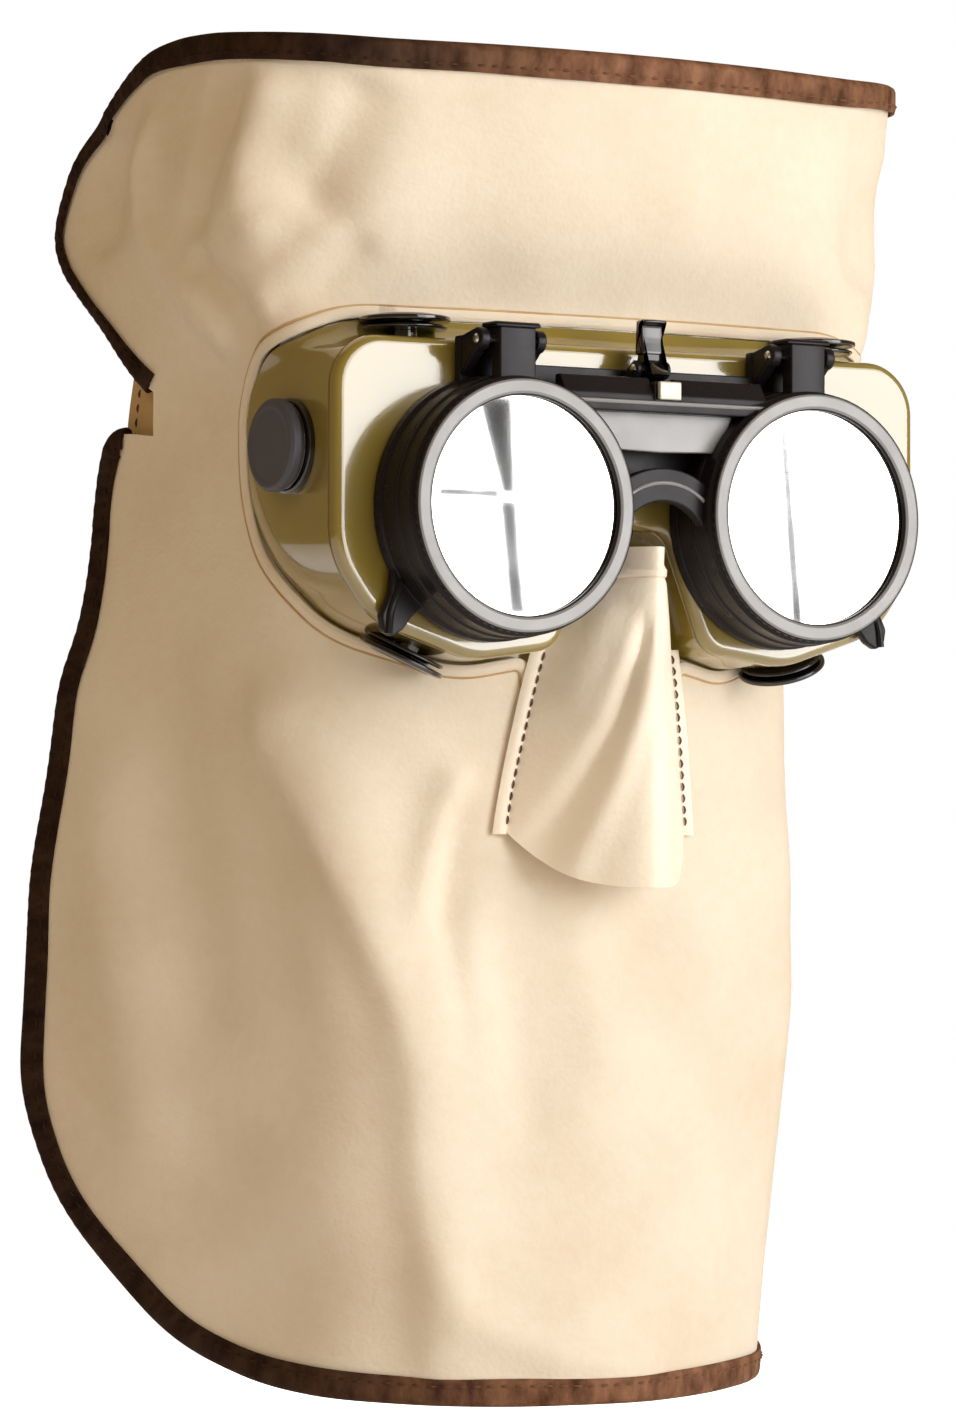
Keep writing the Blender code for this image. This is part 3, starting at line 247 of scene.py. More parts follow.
strut_shares = [
    (0.86, -0.33), (0.90, -0.50), (0.92, -0.68), (1.00, -0.84), (0.98, -0.96), (0.90, -1.00),
    (0.81, -0.95), (0.74, -0.86), (0.66, -0.79), (0.56, -0.78), (0.44, -0.84), (0.53, -0.77),
    (0.77, -0.55), (0.84, -0.44),
]

# Vents, in millimetres for each kind: cap radius, seat radius, cap depth, gap behind the cap,
# thickness of the seat's plate and radius of its hub. The shift says how far the photograph
# puts a vent outward, back and up from the solid's place.
vent_neck = 2.8 * mm
vent_sizes = {
    "upper": (10.3, 9.6, 2.0, 0.5, 1.0, 6.0),
    "lower": (10.2, 9.5, 2.0, 0.5, 1.0, 6.0),
    "side": (10.4, 10.7, 3.3, 0.9, 2.4, 9.3),
}
vent_shift = {"upper": (0, 3.0 * mm, 0.4 * mm), "lower": (0, 3.0 * mm, 1.3 * mm),
              "side": (-1.6 * mm, 0, 0)}
vent_hole = (-12 * mm, 4 * mm)
lower_vent_lean = math.tan(0.38)

# Nose cover
nose_rim = -7.5 * mm
nose_top = -11.5 * mm
nose_seam_top = -34.0 * mm
nose_seam_end = -71.5 * mm
nose_tip_drop = 12.5 * mm
nose_ridge = 46.5 * mm
nose_half_top = 9.0 * mm
nose_half_end = 23.5 * mm
nose_margin = 3.2 * mm
nose_seam_shares = (0.30, 1.01)
nose_tuck = 2.5 * mm
nose_fold_spread = (25, 60)
nose_stitch_pitch = 2.7 * mm
nose_stitch_length = 1.9 * mm
nose_slot_corners = [(19.0 * mm, 0, 4.5 * mm), (14.5 * mm, 0, 7.2 * mm)]
nose_slot_bottom = -62.0 * mm

# Bindings, the opening's hem and stitches
binding_leg = 5.0 * mm
binding_wall = 0.8 * mm
binding_slack = 0.9 * mm
binding_room = 0.25 * mm
binding_step = 1.1 * mm
narrow_start = 118 * mm
narrow_run = 34 * mm
narrow_above = 20 * mm
narrowing = 0.55
hem_offset = 1.0 * mm
# The thin brown tube outside the hem is painted shade: it stands for the shadow line along the
# hem's outer edge.
shade_line_offset = 2.5 * mm
shade_line_radius = 0.3 * mm
shade_line_lift = 0.08 * mm
stitch_pitch = 3.4 * mm
stitch_length = 2.3 * mm
thread_radius = 0.28 * mm

# Tabs, headband and slider
tab_thickness = 1.2 * mm
tab_half = 21.0 * mm
tab_middle = 24.5 * mm
tab_start = 104.0 * mm
tab_end = 139.5 * mm
tab_corner = 5 * mm
tab_seam_corner = 3 * mm
tab_seam_inset = 3 * mm
band_thickness = 1.6 * mm
band_width = 25.0 * mm
band_slider_half = 10 * mm
band_sewn = 13 * mm
band_bend = 6 * mm
band_corner = (60 * mm, 66 * mm)
band_straight = (42 * mm, 36 * mm)
slider_rail = 1.8 * mm
slider_bar = 3 * mm

# The wearer's two sides: the word that names a side, and its sign across
hands = (("right", -1), ("left", 1))


def srgb(red, green, blue):
    """A colour picked as screen values from 0 to 255, as linear light."""
    share = np.array([red, green, blue]) / 255
    return tuple(np.where(share <= 0.04045, share / 12.92, ((share + 0.055) / 1.055) ** 2.4))


def unit(vectors):
    """Vectors scaled to length one along the last axis."""
    return vectors / np.linalg.norm(vectors, axis=-1, keepdims=True)


def add_node(tree, kind, inputs=(), **settings):
    """A shader node with its settings, and each input given a value or a link."""
    node = tree.nodes.new(kind)
    for key, value in settings.items():
        setattr(node, key, value)
    for key, value in dict(inputs).items():
        if isinstance(value, bpy.types.NodeSocket):
            tree.links.new(value, node.inputs[key])
        else:
            node.inputs[key].default_value = value
    return node


def noise(tree, place, scale, detail, **more):
    """The value of a noise texture at a place."""
    values = {key.capitalize(): value for key, value in more.items()}
    return add_node(tree, 'ShaderNodeTexNoise', {
        "Vector": place, "Scale": scale, "Detail": detail, **values}).outputs[0]


def weighted_sum(tree, value, weight, base):
    """A value times a weight, plus a base."""
    return add_node(tree, 'ShaderNodeMath', {0: value, 1: weight, 2: base},
                    operation='MULTIPLY_ADD').outputs[0]


def span(tree, value, **ends):
    """A value mapped from one range to another, with the ends given by name."""
    inputs = {key.replace("_", " ").title(): end for key, end in ends.items()}
    return add_node(tree, 'ShaderNodeMapRange', {"Value": value, **inputs}).outputs[0]


def mixed_colour(tree, share, first, second):
    """A colour between two, by a share."""
    return add_node(tree, 'ShaderNodeMix', {0: share, 6: first, 7: second},
                    data_type='RGBA').outputs[2]


def new_group(name, inputs, outputs):
    """An empty node group with named inputs and outputs, and its two end nodes."""
    tree = bpy.data.node_groups.new(name, 'ShaderNodeTree')
    for label, kind, value in inputs:
        socket = tree.interface.new_socket(label, in_out='INPUT', socket_type=kind)
        if value is not None:
            socket.default_value = value
    for label, kind in outputs:
        tree.interface.new_socket(label, in_out='OUTPUT', socket_type=kind)
    return tree, tree.nodes.new('NodeGroupInput'), tree.nodes.new('NodeGroupOutput')


def grain_group():
    """Leather grain: pebbles from a cell pattern, broken up by finer noise and long creases."""
    tree, start, end = new_group("leather_grain", [
        ("Place", 'NodeSocketVector', None), ("Pebble", 'NodeSocketFloat', 900.0),
        ("Crease", 'NodeSocketFloat', 60.0)], [("Height", 'NodeSocketFloat')])
    place = start.outputs["Place"]
    warp = add_node(tree, 'ShaderNodeTexNoise', {"Vector": place, "Scale": 260.0, "Detail": 2.0})
    shifted = add_node(tree, 'ShaderNodeVectorMath', {
        0: warp.outputs["Color"], 1: (0.0012, 0.0012, 0.0012), 2: place},
        operation='MULTIPLY_ADD')
    cells = add_node(tree, 'ShaderNodeTexVoronoi', {
        "Vector": shifted.outputs[0], "Scale": start.outputs["Pebble"]},
        feature='SMOOTH_F1')
    fine = noise(tree, place, 2200.0, 3.0)
    long = noise(tree, place, start.outputs["Crease"], 5.0, roughness=0.62, distortion=0.8)
    pebbles = add_node(tree, 'ShaderNodeMath', {0: cells.outputs["Distance"], 1: -0.55},
                       operation='MULTIPLY')
    first = weighted_sum(tree, fine, 0.25, pebbles.outputs[0])
    tree.links.new(weighted_sum(tree, long, 2.2, first), end.inputs["Height"])
    return tree


def mottle_group():
    """Uneven dye: two colours mixed by broad clouds, then darkened a little by small ones."""
    tree, start, end = new_group("uneven_dye", [
        ("Place", 'NodeSocketVector', None), ("Light", 'NodeSocketColor', (1, 1, 1, 1)),
        ("Dark", 'NodeSocketColor', (0, 0, 0, 1)), ("Cloud", 'NodeSocketFloat', 20.0),
        ("Speck", 'NodeSocketFloat', 300.0)],
        [("Color", 'NodeSocketColor'), ("Mask", 'NodeSocketFloat')])
    place = start.outputs["Place"]
    cloud = noise(tree, place, start.outputs["Cloud"], 4.0, roughness=0.55)
    speck = noise(tree, place, start.outputs["Speck"], 4.0, roughness=0.7)
    mask = span(tree, weighted_sum(tree, speck, 0.35, cloud), from_min=0.48, from_max=0.88)
    mixed = mixed_colour(tree, mask, start.outputs["Light"], start.outputs["Dark"])
    tree.links.new(mixed, end.inputs["Color"])
    tree.links.new(mask, end.inputs["Mask"])
    return tree


def scuff_group():
    """Handling marks: thin scratches from stretched noise and patches where a surface dulls."""
    tree, start, end = new_group("handling_marks", [
        ("Place", 'NodeSocketVector', None), ("Scale", 'NodeSocketFloat', 90.0)],
        [("Dull", 'NodeSocketFloat'), ("Height", 'NodeSocketFloat')])
    place = start.outputs["Place"]
    patch = noise(tree, place, start.outputs["Scale"], 6.0, roughness=0.65)
    dull = span(tree, patch, from_min=0.4, from_max=0.7)
    stretched = add_node(tree, 'ShaderNodeMapping', {
        "Vector": place, "Scale": (1.0, 1.0, 0.06), "Rotation": (0.3, 0.5, 0.2)})
    scratch = noise(tree, stretched.outputs[0], 1500.0, 2.0)
    grit = noise(tree, place, 1800.0, 2.0)
    tree.links.new(dull, end.inputs["Dull"])
    tree.links.new(weighted_sum(tree, scratch, 0.5, grit), end.inputs["Height"])
    return tree


grain = grain_group()
mottle = mottle_group()
scuffs = scuff_group()


def new_material(name, **sockets):
    """A material with a Principled shader whose sockets are set by name, and its node tree."""
    material = bpy.data.materials.new(name)
    material.use_nodes = True
    shader = material.node_tree.nodes["Principled BSDF"]
    for label, value in sockets.items():
        shader.inputs[label.replace("_", " ")].default_value = value
    return material, material.node_tree, shader


def flat_place(tree):
    """The place on the flat pattern that a soft piece carries in its flat attribute."""
    return add_node(tree, 'ShaderNodeAttribute', attribute_name="flat").outputs["Vector"]


def object_place(tree):
    """The place in the object's own frame."""
    return add_node(tree, 'ShaderNodeTexCoord').outputs["Object"]


def bump(tree, shader, height, distance):
    """Drive the shader's normal from a height."""
    node = add_node(tree, 'ShaderNodeBump', {
        "Height": height, "Distance": distance, "Strength": 1.0})
    tree.links.new(node.outputs[0], shader.inputs["Normal"])


def rough_between(tree, shader, mask, low, high):
    """Vary the roughness between two values by a mask."""
    tree.links.new(span(tree, mask, to_min=low, to_max=high), shader.inputs["Roughness"])


def use_group(tree, group, place, **values):
    """A node group in a material, with its place and its other inputs by name."""
    node = add_node(tree, 'ShaderNodeGroup', node_tree=group)
    tree.links.new(place, node.inputs["Place"])
    for key, value in values.items():
        node.inputs[key].default_value = value
    return node.outputs


def leather_material(name, light, dark, pebble=900.0, depth=0.12 * mm, cloud=20.0, low=0.55,
                     high=0.72, **sockets):
    """Dyed leather: uneven colour, a pebbled grain, and a dry surface."""
    material, tree, shader = new_material(name, **sockets)
    where = flat_place(tree)
    dye = use_group(tree, mottle, where, Light=(*light, 1), Dark=(*dark, 1), Cloud=cloud)
    tree.links.new(dye["Color"], shader.inputs["Base Color"])
    rough_between(tree, shader, dye["Mask"], low, high)
    bump(tree, shader, use_group(tree, grain, where, Pebble=pebble)["Height"], depth)
    return material


def binding_material(name):
    """Split-hide strip, flecked, darker toward the wearer's right and paler from the middle on:
    partly painted shade on the side turned from the light, partly a paler second piece.
    """
    material = leather_material(name, (0.27, 0.13, 0.07), (0.075, 0.03, 0.016), cloud=190.0,
                                pebble=600.0, depth=0.25 * mm, low=0.55, high=0.8,
                                Specular_IOR_Level=0.1)
    tree = material.node_tree
    shader = tree.nodes["Principled BSDF"]
    dye = shader.inputs["Base Color"].links[0].from_socket
    # Painted shade: the dye is scaled down toward the wearer's right (-X), the side turned from
    # the light, and kept full from the middle on, where a paler piece also runs.
    across = add_node(tree, 'ShaderNodeSeparateXYZ', {0: object_place(tree)})
    pale = add_node(tree, 'ShaderNodeMapRange', {
        "Value": across.outputs[0], "From Min": -78 * mm, "From Max": -4 * mm,
        "To Min": 0.15, "To Max": 1.0}, interpolation_type='SMOOTHSTEP')
    deep = add_node(tree, 'ShaderNodeVectorMath', {0: dye, "Scale": pale.outputs[0]},
                    operation='SCALE')
    tree.links.new(deep.outputs[0], shader.inputs["Base Color"])
    return material


def moulded_material(name, colour, low, high, depth=0.02 * mm, scale=90.0, **sockets):
    """Moulded or coated surface: one colour, dulled in patches, with faint grit."""
    material, tree, shader = new_material(name, **sockets)
    marks = use_group(tree, scuffs, object_place(tree), Scale=scale)
    rough_between(tree, shader, marks["Dull"], low, high)
    greyer = np.array(colour) * 0.8 + 0.2 * float(np.mean(colour))
    tint = mixed_colour(tree, marks["Dull"], (*colour, 1), (*greyer, 1))
    tree.links.new(tint, shader.inputs["Base Color"])
    bump(tree, shader, marks["Height"], depth)
    return material


def webbing_material(name):
    """Woven elastic: fine crossed ribs along and across the flat strap."""
    material, tree, shader = new_material(name, Roughness=0.85, Sheen_Weight=0.3)
    where = flat_place(tree)
    along = add_node(tree, 'ShaderNodeTexWave', {"Vector": where, "Scale": 190.0},
                     bands_direction='X')
    over = add_node(tree, 'ShaderNodeTexWave', {"Vector": where, "Scale": 320.0},
                    bands_direction='Y')
    both = add_node(tree, 'ShaderNodeMath', {0: along.outputs[1], 1: over.outputs[1]},
                    operation='MULTIPLY')
    tint = mixed_colour(tree, both.outputs[0], (*srgb(22, 22, 24), 1), (*srgb(62, 61, 62), 1))
    tree.links.new(tint, shader.inputs["Base Color"])
    bump(tree, shader, both.outputs[0], 0.25 * mm)
    return material


finish = {
    "leather": leather_material("split_leather", (0.81, 0.725, 0.60), (0.73, 0.62, 0.48),
                                Sheen_Weight=0.1, Specular_IOR_Level=0.2),
    # Painted light: the nose cover's leather is made lighter than the sheet's to make up for the
    # shade that the lens holders cast on it.
    "nose": leather_material("nose_leather_painted_light", (0.97, 0.89, 0.76), (0.91, 0.80, 0.66),
                             cloud=30.0, Sheen_Weight=0.1, Specular_IOR_Level=0.2),
    # The tabs' darker tan is partly their own leather and partly painted shade of their recess
    # behind the guard's flaps.
    "tab": leather_material("tab_leather", (0.60, 0.42, 0.22), (0.46, 0.29, 0.13),
                            cloud=60.0, Specular_IOR_Level=0.3),
    "binding": binding_material("binding_strip"),
    "thread": moulded_material("sewing_thread", srgb(84, 56, 38), 0.6, 0.8),
    "shell": moulded_material("gold_vinyl", (0.25, 0.185, 0.03), 0.12, 0.22, scale=25.0,
                              IOR=1.7, Coat_Weight=1.0, Coat_Roughness=0.06),
    "frame": moulded_material("black_moulding", srgb(28, 25, 29), 0.26, 0.4,
                              depth=0.006 * mm, IOR=1.27),
    "vent": moulded_material("vent_moulding", srgb(20, 17, 18), 0.12, 0.2, depth=0.004 * mm,
                             Coat_Weight=0.6, Coat_Roughness=0.08),
    "knob": moulded_material("knob_face", srgb(70, 70, 80), 0.5, 0.65, depth=0.01 * mm),
    "catch": moulded_material("plated_catch", srgb(200, 195, 184), 0.4, 0.55, Metallic=0.3),
    "ring": moulded_material("ring_coat", (0.235, 0.235, 0.24), 0.34, 0.44, depth=0.01 * mm,
                             Metallic=0.2),
    "lens": moulded_material("mirror_lens", srgb(250, 251, 253), 0.02, 0.035, depth=0.0,
                             scale=20.0, Metallic=1.0),
    "clear": moulded_material("clear_lens", srgb(240, 244, 246), 0.02, 0.04, depth=0.0,
                              Transmission_Weight=1.0, IOR=1.5),
    "filter": moulded_material("filter_glass", srgb(20, 34, 26), 0.03, 0.06, depth=0.0),
    "rubber": moulded_material("gasket_rubber", srgb(30, 30, 31), 0.6, 0.8),
    "steel": moulded_material("bright_steel", srgb(200, 200, 204), 0.2, 0.35, Metallic=1.0),
    "webbing": webbing_material("elastic_webbing"),
}


def grid_faces(rows, columns, wrap_rows=False, wrap_columns=False):
    """Quads of a grid of points: each joins four neighbours, wrapping round where asked."""
    down = np.arange(rows if wrap_rows else rows - 1)
    over = np.arange(columns if wrap_columns else columns - 1)
    down, over = np.meshgrid(down, over, indexing='ij')
    below = (down + 1) % rows
    beside = (over + 1) % columns
    quads = np.stack([down * columns + over, down * columns + beside,
                      below * columns + beside, below * columns + over], axis=-1)
    return quads.reshape(-1, 4).tolist()


def shell_of(points, wrap_rows=False):
    """A grid of points as a shell closed round each row, with its two ends joined or capped."""
    rows, columns = points.shape[:2]
    faces = grid_faces(rows, columns, wrap_rows, True)
    if not wrap_rows:
        faces.append(list(range(columns))[::-1])
        faces.append(list(range((rows - 1) * columns, rows * columns)))
    return points.reshape(-1, 3), faces


def joined(shells):
    """Several shells as one list of points and one of faces."""
    points = []
    faces = []
    start = 0
    for places, sides in shells:
        points.append(places)
        faces.extend([[corner + start for corner in face] for face in sides])
        start += len(places)
    return np.vstack(points), faces


def new_mesh(name, points, faces):
    """A mesh of points and faces."""
    mesh = bpy.data.meshes.new(name)
    mesh.from_pydata(points.tolist(), [], faces)
    return mesh


def show(name, data):
    """Put a mesh, a light or a camera in the scene."""
    thing = bpy.data.objects.new(name, data)
    bpy.context.scene.collection.objects.link(thing)
    return thing


def fix_normals(mesh):
    """Merge a mesh's doubles and turn its faces outward."""
    bm = bmesh.new()
    bm.from_mesh(mesh)
    bmesh.ops.remove_doubles(bm, verts=bm.verts, dist=0.002 * mm)
    bmesh.ops.recalc_face_normals(bm, faces=bm.faces)
    bm.to_mesh(mesh)
    bm.free()


def make_piece(name, shells, material, body, replaced=(), flat=None, crease=0.6):
    """Make shells into one piece that rides on a body and stands for CAD nodes.

    Doubles are merged, normals turned outward, and edges sharper than the crease angle are
    kept crisp.
    """
    mesh = new_mesh(name, *joined(shells))
    if flat is not None:
        layer = mesh.attributes.new("flat", 'FLOAT_VECTOR', 'POINT')
        layer.data.foreach_set("vector", np.asarray(flat, np.float32).ravel())
    fix_normals(mesh)
    mesh.shade_smooth()
    mesh.set_sharp_from_angle(angle=crease)
    mesh.materials.append(finish[material])
    piece = show(name, mesh)
    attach(piece, body)
    if replaced:
        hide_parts(*replaced)
    return piece


def soften(outline, radius, steps=5):
    """Round a closed outline's corners.

    Each corner becomes a parabola (1-t)^2 A + 2t(1-t) C + t^2 B, where C is the corner and A
    and B lie a radius from it along its two sides, or less than half a short side away.
    """
    before = np.roll(outline, 1, axis=0) - outline
    after = np.roll(outline, -1, axis=0) - outline
    long_before = np.linalg.norm(before, axis=1, keepdims=True)
    long_after = np.linalg.norm(after, axis=1, keepdims=True)
    start = outline + before / long_before * np.minimum(radius, 0.42 * long_before)
    end = outline + after / long_after * np.minimum(radius, 0.42 * long_after)
    t = np.linspace(0, 1, steps)[None, :, None]
    curve = ((1 - t) ** 2 * start[:, None] + 2 * t * (1 - t) * outline[:, None]
             + t ** 2 * end[:, None])
    return curve.reshape(-1, 2)


def supported(outline, near=0.12 * mm):
    """Add a point near both ends of each long side, so that flat faces shade flat."""
    run = np.roll(outline, -1, axis=0) - outline
    long = np.linalg.norm(run, axis=1, keepdims=True)
    step = run / np.maximum(long, near) * near
    points = np.stack([outline, outline + step, outline + run - step], axis=1)
    keep = np.repeat(long > 5 * near, 3, axis=1)
    keep[:, 0] = True
    return points[keep]


def lathe(profile, steps=96, soft=0.0, ripple=None):
    """Spin a closed (radius, height) profile about Z: x = r cos a, y = r sin a, z = h.

    A soft radius rounds the profile's corners first, spare points on the axis are dropped, and
    a ripple function of the angle and the profile's point adds to the radius.
    """
    profile = np.array(profile, float)
    profile = supported(soften(profile, soft * (profile[:, :1] > 0)))
    on_axis = profile[:, 0] <= 0
    profile = profile[~(on_axis & np.roll(on_axis, 1) & np.roll(on_axis, -1))]
    angle = np.arange(steps)[:, None] * math.tau / steps
    radius = np.repeat(profile[None, :, 0], steps, axis=0)
    if ripple is not None:
        radius = radius + ripple(angle, profile)
    height = np.repeat(profile[None, :, 1], steps, axis=0)
    points = np.stack([radius * np.cos(angle), radius * np.sin(angle), height], axis=-1)
    return shell_of(points, wrap_rows=True)


def disc(radius, low, high, steps=128, inner=0.0, soft=0.0):
    """A disc about Z between two heights, with a hole if it has an inner radius."""
    return lathe([(inner, low), (radius, low), (radius, high), (inner, high)], steps, soft)


def on_lens_axis(shell, side):
    """Turn a shell from the Z axis to face forward, along -Y, on one side's lens axis."""
    points, faces = shell
    return np.stack([points[:, 0] + side * lens_across, -points[:, 2], points[:, 1]],
                    axis=1), faces


def sideways(shell, across, ahead, height):
    """Turn a shell from the Z axis to the X axis, on a pin's axis."""
    points, faces = shell
    return np.stack([points[:, 2] + across, points[:, 0] - ahead, points[:, 1] + height],
                    axis=1), faces


def standing(shell, place, axis):
    """Stand a shell built about Z on a place, with Z along an axis."""
    points, faces = shell
    turn = np.array(Vector(axis).to_track_quat('Z', 'Y').to_matrix())
    return points @ turn.T + np.array(place), faces


def corner_turns(outline):
    """At each corner of a closed outline, four values.

    They are the direction of the side before it, the sine and the cosine of its turn, and the
    step that moves both its sides a unit to the right.
    """
    before = unit(outline - np.roll(outline, 1, axis=0))
    after = np.roll(before, -1, axis=0)
    sine = before[:, 0] * after[:, 1] - before[:, 1] * after[:, 0]
    cosine = np.sum(before * after, axis=1)
    step = np.stack([before[:, 1] + after[:, 1], -before[:, 0] - after[:, 0]], axis=1)
    return before, sine, cosine, step / (1 + cosine[:, None])


def inset(outline, distance):
    """Move a closed outline inward, square to its sides."""
    step = corner_turns(outline)[3]
    area = np.sum(outline[:, 0] * np.roll(outline[:, 1], -1)
                  - outline[:, 1] * np.roll(outline[:, 0], -1))
    return outline - step * distance * math.copysign(1, area)


def bar_of(outline, low, high, axis, soft=0.4 * mm, edge=0.3 * mm):
    """Extrude an outline along X, Y or Z, with its corners and both its end edges rounded.

    Along the bar the outline is inset by edge (1 - sin a) at a depth of edge (1 - cos a).
    """
    outline = supported(soften(np.array(outline, float), soft))
    angle = np.linspace(0, math.pi / 2, 4)
    depth = edge * (1 - np.cos(angle))
    shrink = edge * (1 - np.sin(angle))
    low, high = sorted((low, high))
    rows = [(low + d, s) for d, s in zip(depth, shrink)]
    rows += [(high - d, s) for d, s in zip(depth[::-1], shrink[::-1])]
    rows = [(low, edge * 1.3), *rows, (high, edge * 1.3)]
    rings = []
    for along, distance in rows:
        flat = inset(outline, distance)
        place = np.full(len(flat), along)
        columns = {'X': (place, flat[:, 0], flat[:, 1]), 'Y': (flat[:, 0], place, flat[:, 1]),
                   'Z': (flat[:, 0], flat[:, 1], place)}[axis]
        rings.append(np.stack(columns, axis=1))
    return shell_of(np.array(rings))


def box_of(low, high, edge=0.3 * mm):
    """A box between two corners, its edges rounded."""
    outline = [(low[0], low[1]), (high[0], low[1]), (high[0], high[1]), (low[0], high[1])]
    return bar_of(outline, low[2], high[2], 'Z', soft=edge, edge=edge)


def at_depth(outline, depth):
    """Places in X and Z, all put at one Y."""
    return np.stack([outline[:, 0], np.full(len(outline), depth), outline[:, 1]], axis=1)


def tube(path, radius, sides=8):
    """A round tube along a path, closed at both ends: each ring lies square to the path."""
    along = unit(np.gradient(path, axis=0))
    across = unit(np.cross(along, np.roll(along, 1, axis=1) + 0.123))
    over = np.cross(along, across)
    angle = np.arange(sides) * math.tau / sides
    rings = (path[:, None] + radius * (np.cos(angle)[None, :, None] * across[:, None]
                                       + np.sin(angle)[None, :, None] * over[:, None]))
    return shell_of(rings)


def height_of(share):
    """Height above the lens axes of a share of the rise or of the drop."""
    return share * (guard_rise if share > 0 else guard_drop)


level_heights = np.array([height_of(row[0]) for row in guard_level_shares])
level_values = guard_level_shares[:, 1:] * (guard_setback, 1, jaw_half, jaw_half, math.pi / 2)


def between_levels(height):
    """Cubic blend of the level table at each height, one column per value."""
    slopes = np.gradient(level_values, level_heights, axis=0)
    height = np.clip(height, level_heights[0], level_heights[-1])
    low = np.clip(np.searchsorted(level_heights, height) - 1, 0, len(level_heights) - 2)
    span = (level_heights[low + 1] - level_heights[low])[:, None]
    t = (height[:, None] - level_heights[low][:, None]) / span
    return ((1 + 2 * t) * (1 - t) ** 2 * level_values[low]
            + t * (1 - t) ** 2 * span * slopes[low]
            + t * t * (3 - 2 * t) * level_values[low + 1]
            + t * t * (t - 1) * span * slopes[low + 1])


def ridge(across, height, start, end, size, width):
    """A ridge along a line: size sin(pi u) exp(-(v/width)^2), with u along and v across it."""
    start = np.array(start, float)
    run = np.array(end, float) - start
    length = np.linalg.norm(run)
    offset = np.stack([across, height], axis=1) - start
    u = offset @ run / length ** 2
    v = offset @ np.array([-run[1], run[0]]) / length
    return size * np.sin(np.clip(u, 0, 1) * math.pi) * np.exp(-(v / width) ** 2)


def distances(line):
    """How far along a line each of its points lies."""
    return np.concatenate([[0], np.cumsum(np.linalg.norm(np.diff(line, axis=0), axis=1))])


def crease(across, height, size, left, right, path):
    """A ridge along a line of places, in their own unit: size e(u) exp(-(d/w)^2).

    The distance d is to the nearest stretch of the line, w is the width on that side, and
    e(u) rises and falls as the smooth step over the first and last fifth of the line.
    """
    path = np.array(path, float)
    start, run = path[:-1], np.diff(path, axis=0)
    long = np.linalg.norm(run, axis=1)
    offset = np.stack([across, height], axis=1)[:, None] - start
    t = np.clip(np.sum(offset * run, axis=2) / long ** 2, 0, 1)
    miss = offset - t[..., None] * run
    distance = np.linalg.norm(miss, axis=2)
    nearest = np.argmin(distance, axis=1)
    row = np.arange(len(across))
    side = (miss[row, nearest, 1] * run[nearest, 0] - miss[row, nearest, 0] * run[nearest, 1])
    u = (distances(path)[nearest] + t[row, nearest] * long[nearest]) / long.sum()
    end = np.clip(np.minimum(u, 1 - u) * 5, 0, 1)
    width = np.where(side > 0, left, right)
    return size * end ** 2 * (3 - 2 * end) * np.exp(-(distance[row, nearest] / width) ** 2)


def shared_folds(across, height):
    """How far the folds that both sides share push the sheet along its normal."""
    lift = np.zeros(len(across))
    for start_x, start_z, end_x, end_z, size, width in fold_shares:
        lift += ridge(np.abs(across), height, (start_x * jaw_half, height_of(start_z)),
                      (end_x * jaw_half, height_of(end_z)), size * fold_height,
                      width * fold_width)
    return lift


def relief(across, height):
    """How far folds, creases, hollows and the hide's unevenness push the sheet outward."""
    lift = shared_folds(across, height)
    for size, left, right, path in creases:
        lift += crease(across / mm, height / mm, size, left, right, path) * mm
    for middle_x, middle_z, half_x, half_z, size in hollows:
        away = ((across / mm - middle_x) / half_x) ** 2 + ((height / mm - middle_z) / half_z) ** 2
        lift += size * mm * np.exp(-away)
    return lift + waviness(across, height)


def waviness(across, height):
    """Faint unevenness of the hide: a sum of sine waves of 18 to 70 mm in fixed directions."""
    rng = np.random.default_rng(7)
    lift = np.zeros_like(across)
    for wave in rng.uniform(18, 70, 16):
        turn, phase = rng.uniform(0, math.tau, 2)
        lift += 0.0035 * wave * mm * np.sin(
            (across * math.cos(turn) + height * math.sin(turn)) * math.tau / (wave * mm) + phase)
    return lift


def plan_point(across, height):
    """Bend the sheet in plan: a bowed front, a tighter corner, then a straight side.

    Across the sheet the direction turns by bow s, then by the smooth step of the corner, and
    the place is the integral of its cosine and sine.
    """
    front, bow, flat, bend, turn = between_levels(height).T[:, :, None]
    share = np.linspace(0, 1, 65)
    weight = np.full(65, 1 / 64)
    weight[[0, -1]] /= 2
    run = np.abs(across)[:, None] * share
    corner = np.clip((run - flat) / bend, 0, 1)
    bow = bow / jaw_half
    angle = bow * np.minimum(run, flat) + (turn - bow * flat) * corner ** 2 * (3 - 2 * corner)
    x = across * (np.cos(angle) @ weight)
    y = np.abs(across) * (np.sin(angle) @ weight) - front[:, 0]
    return np.stack([x, y, height], axis=1)


def guard_frame(across, height):
    """Places on the bent sheet and the outward normals there, before any relief."""
    across = np.atleast_1d(np.asarray(across, float))
    height = np.atleast_1d(np.asarray(height, float))
    sideways_step = (plan_point(across + small_step, height)
                     - plan_point(across - small_step, height))
    upward_step = (plan_point(across, height + small_step)
                   - plan_point(across, height - small_step))
    return plan_point(across, height), unit(np.cross(sideways_step, upward_step))


def guard_point(across, height, lift=0.0, push=relief):
    """Pattern points on the bent sheet with its relief, lifted along the normal."""
    place, normal = guard_frame(across, height)
    raised = push(np.atleast_1d(across), np.atleast_1d(height)) + lift
    return place + normal * raised[:, None]


def seat_point(across, height, lift=0.0):
    """Like guard_point, with only the folds that both sides share, as the hard parts sit."""
    return guard_point(across, height, lift, shared_folds)


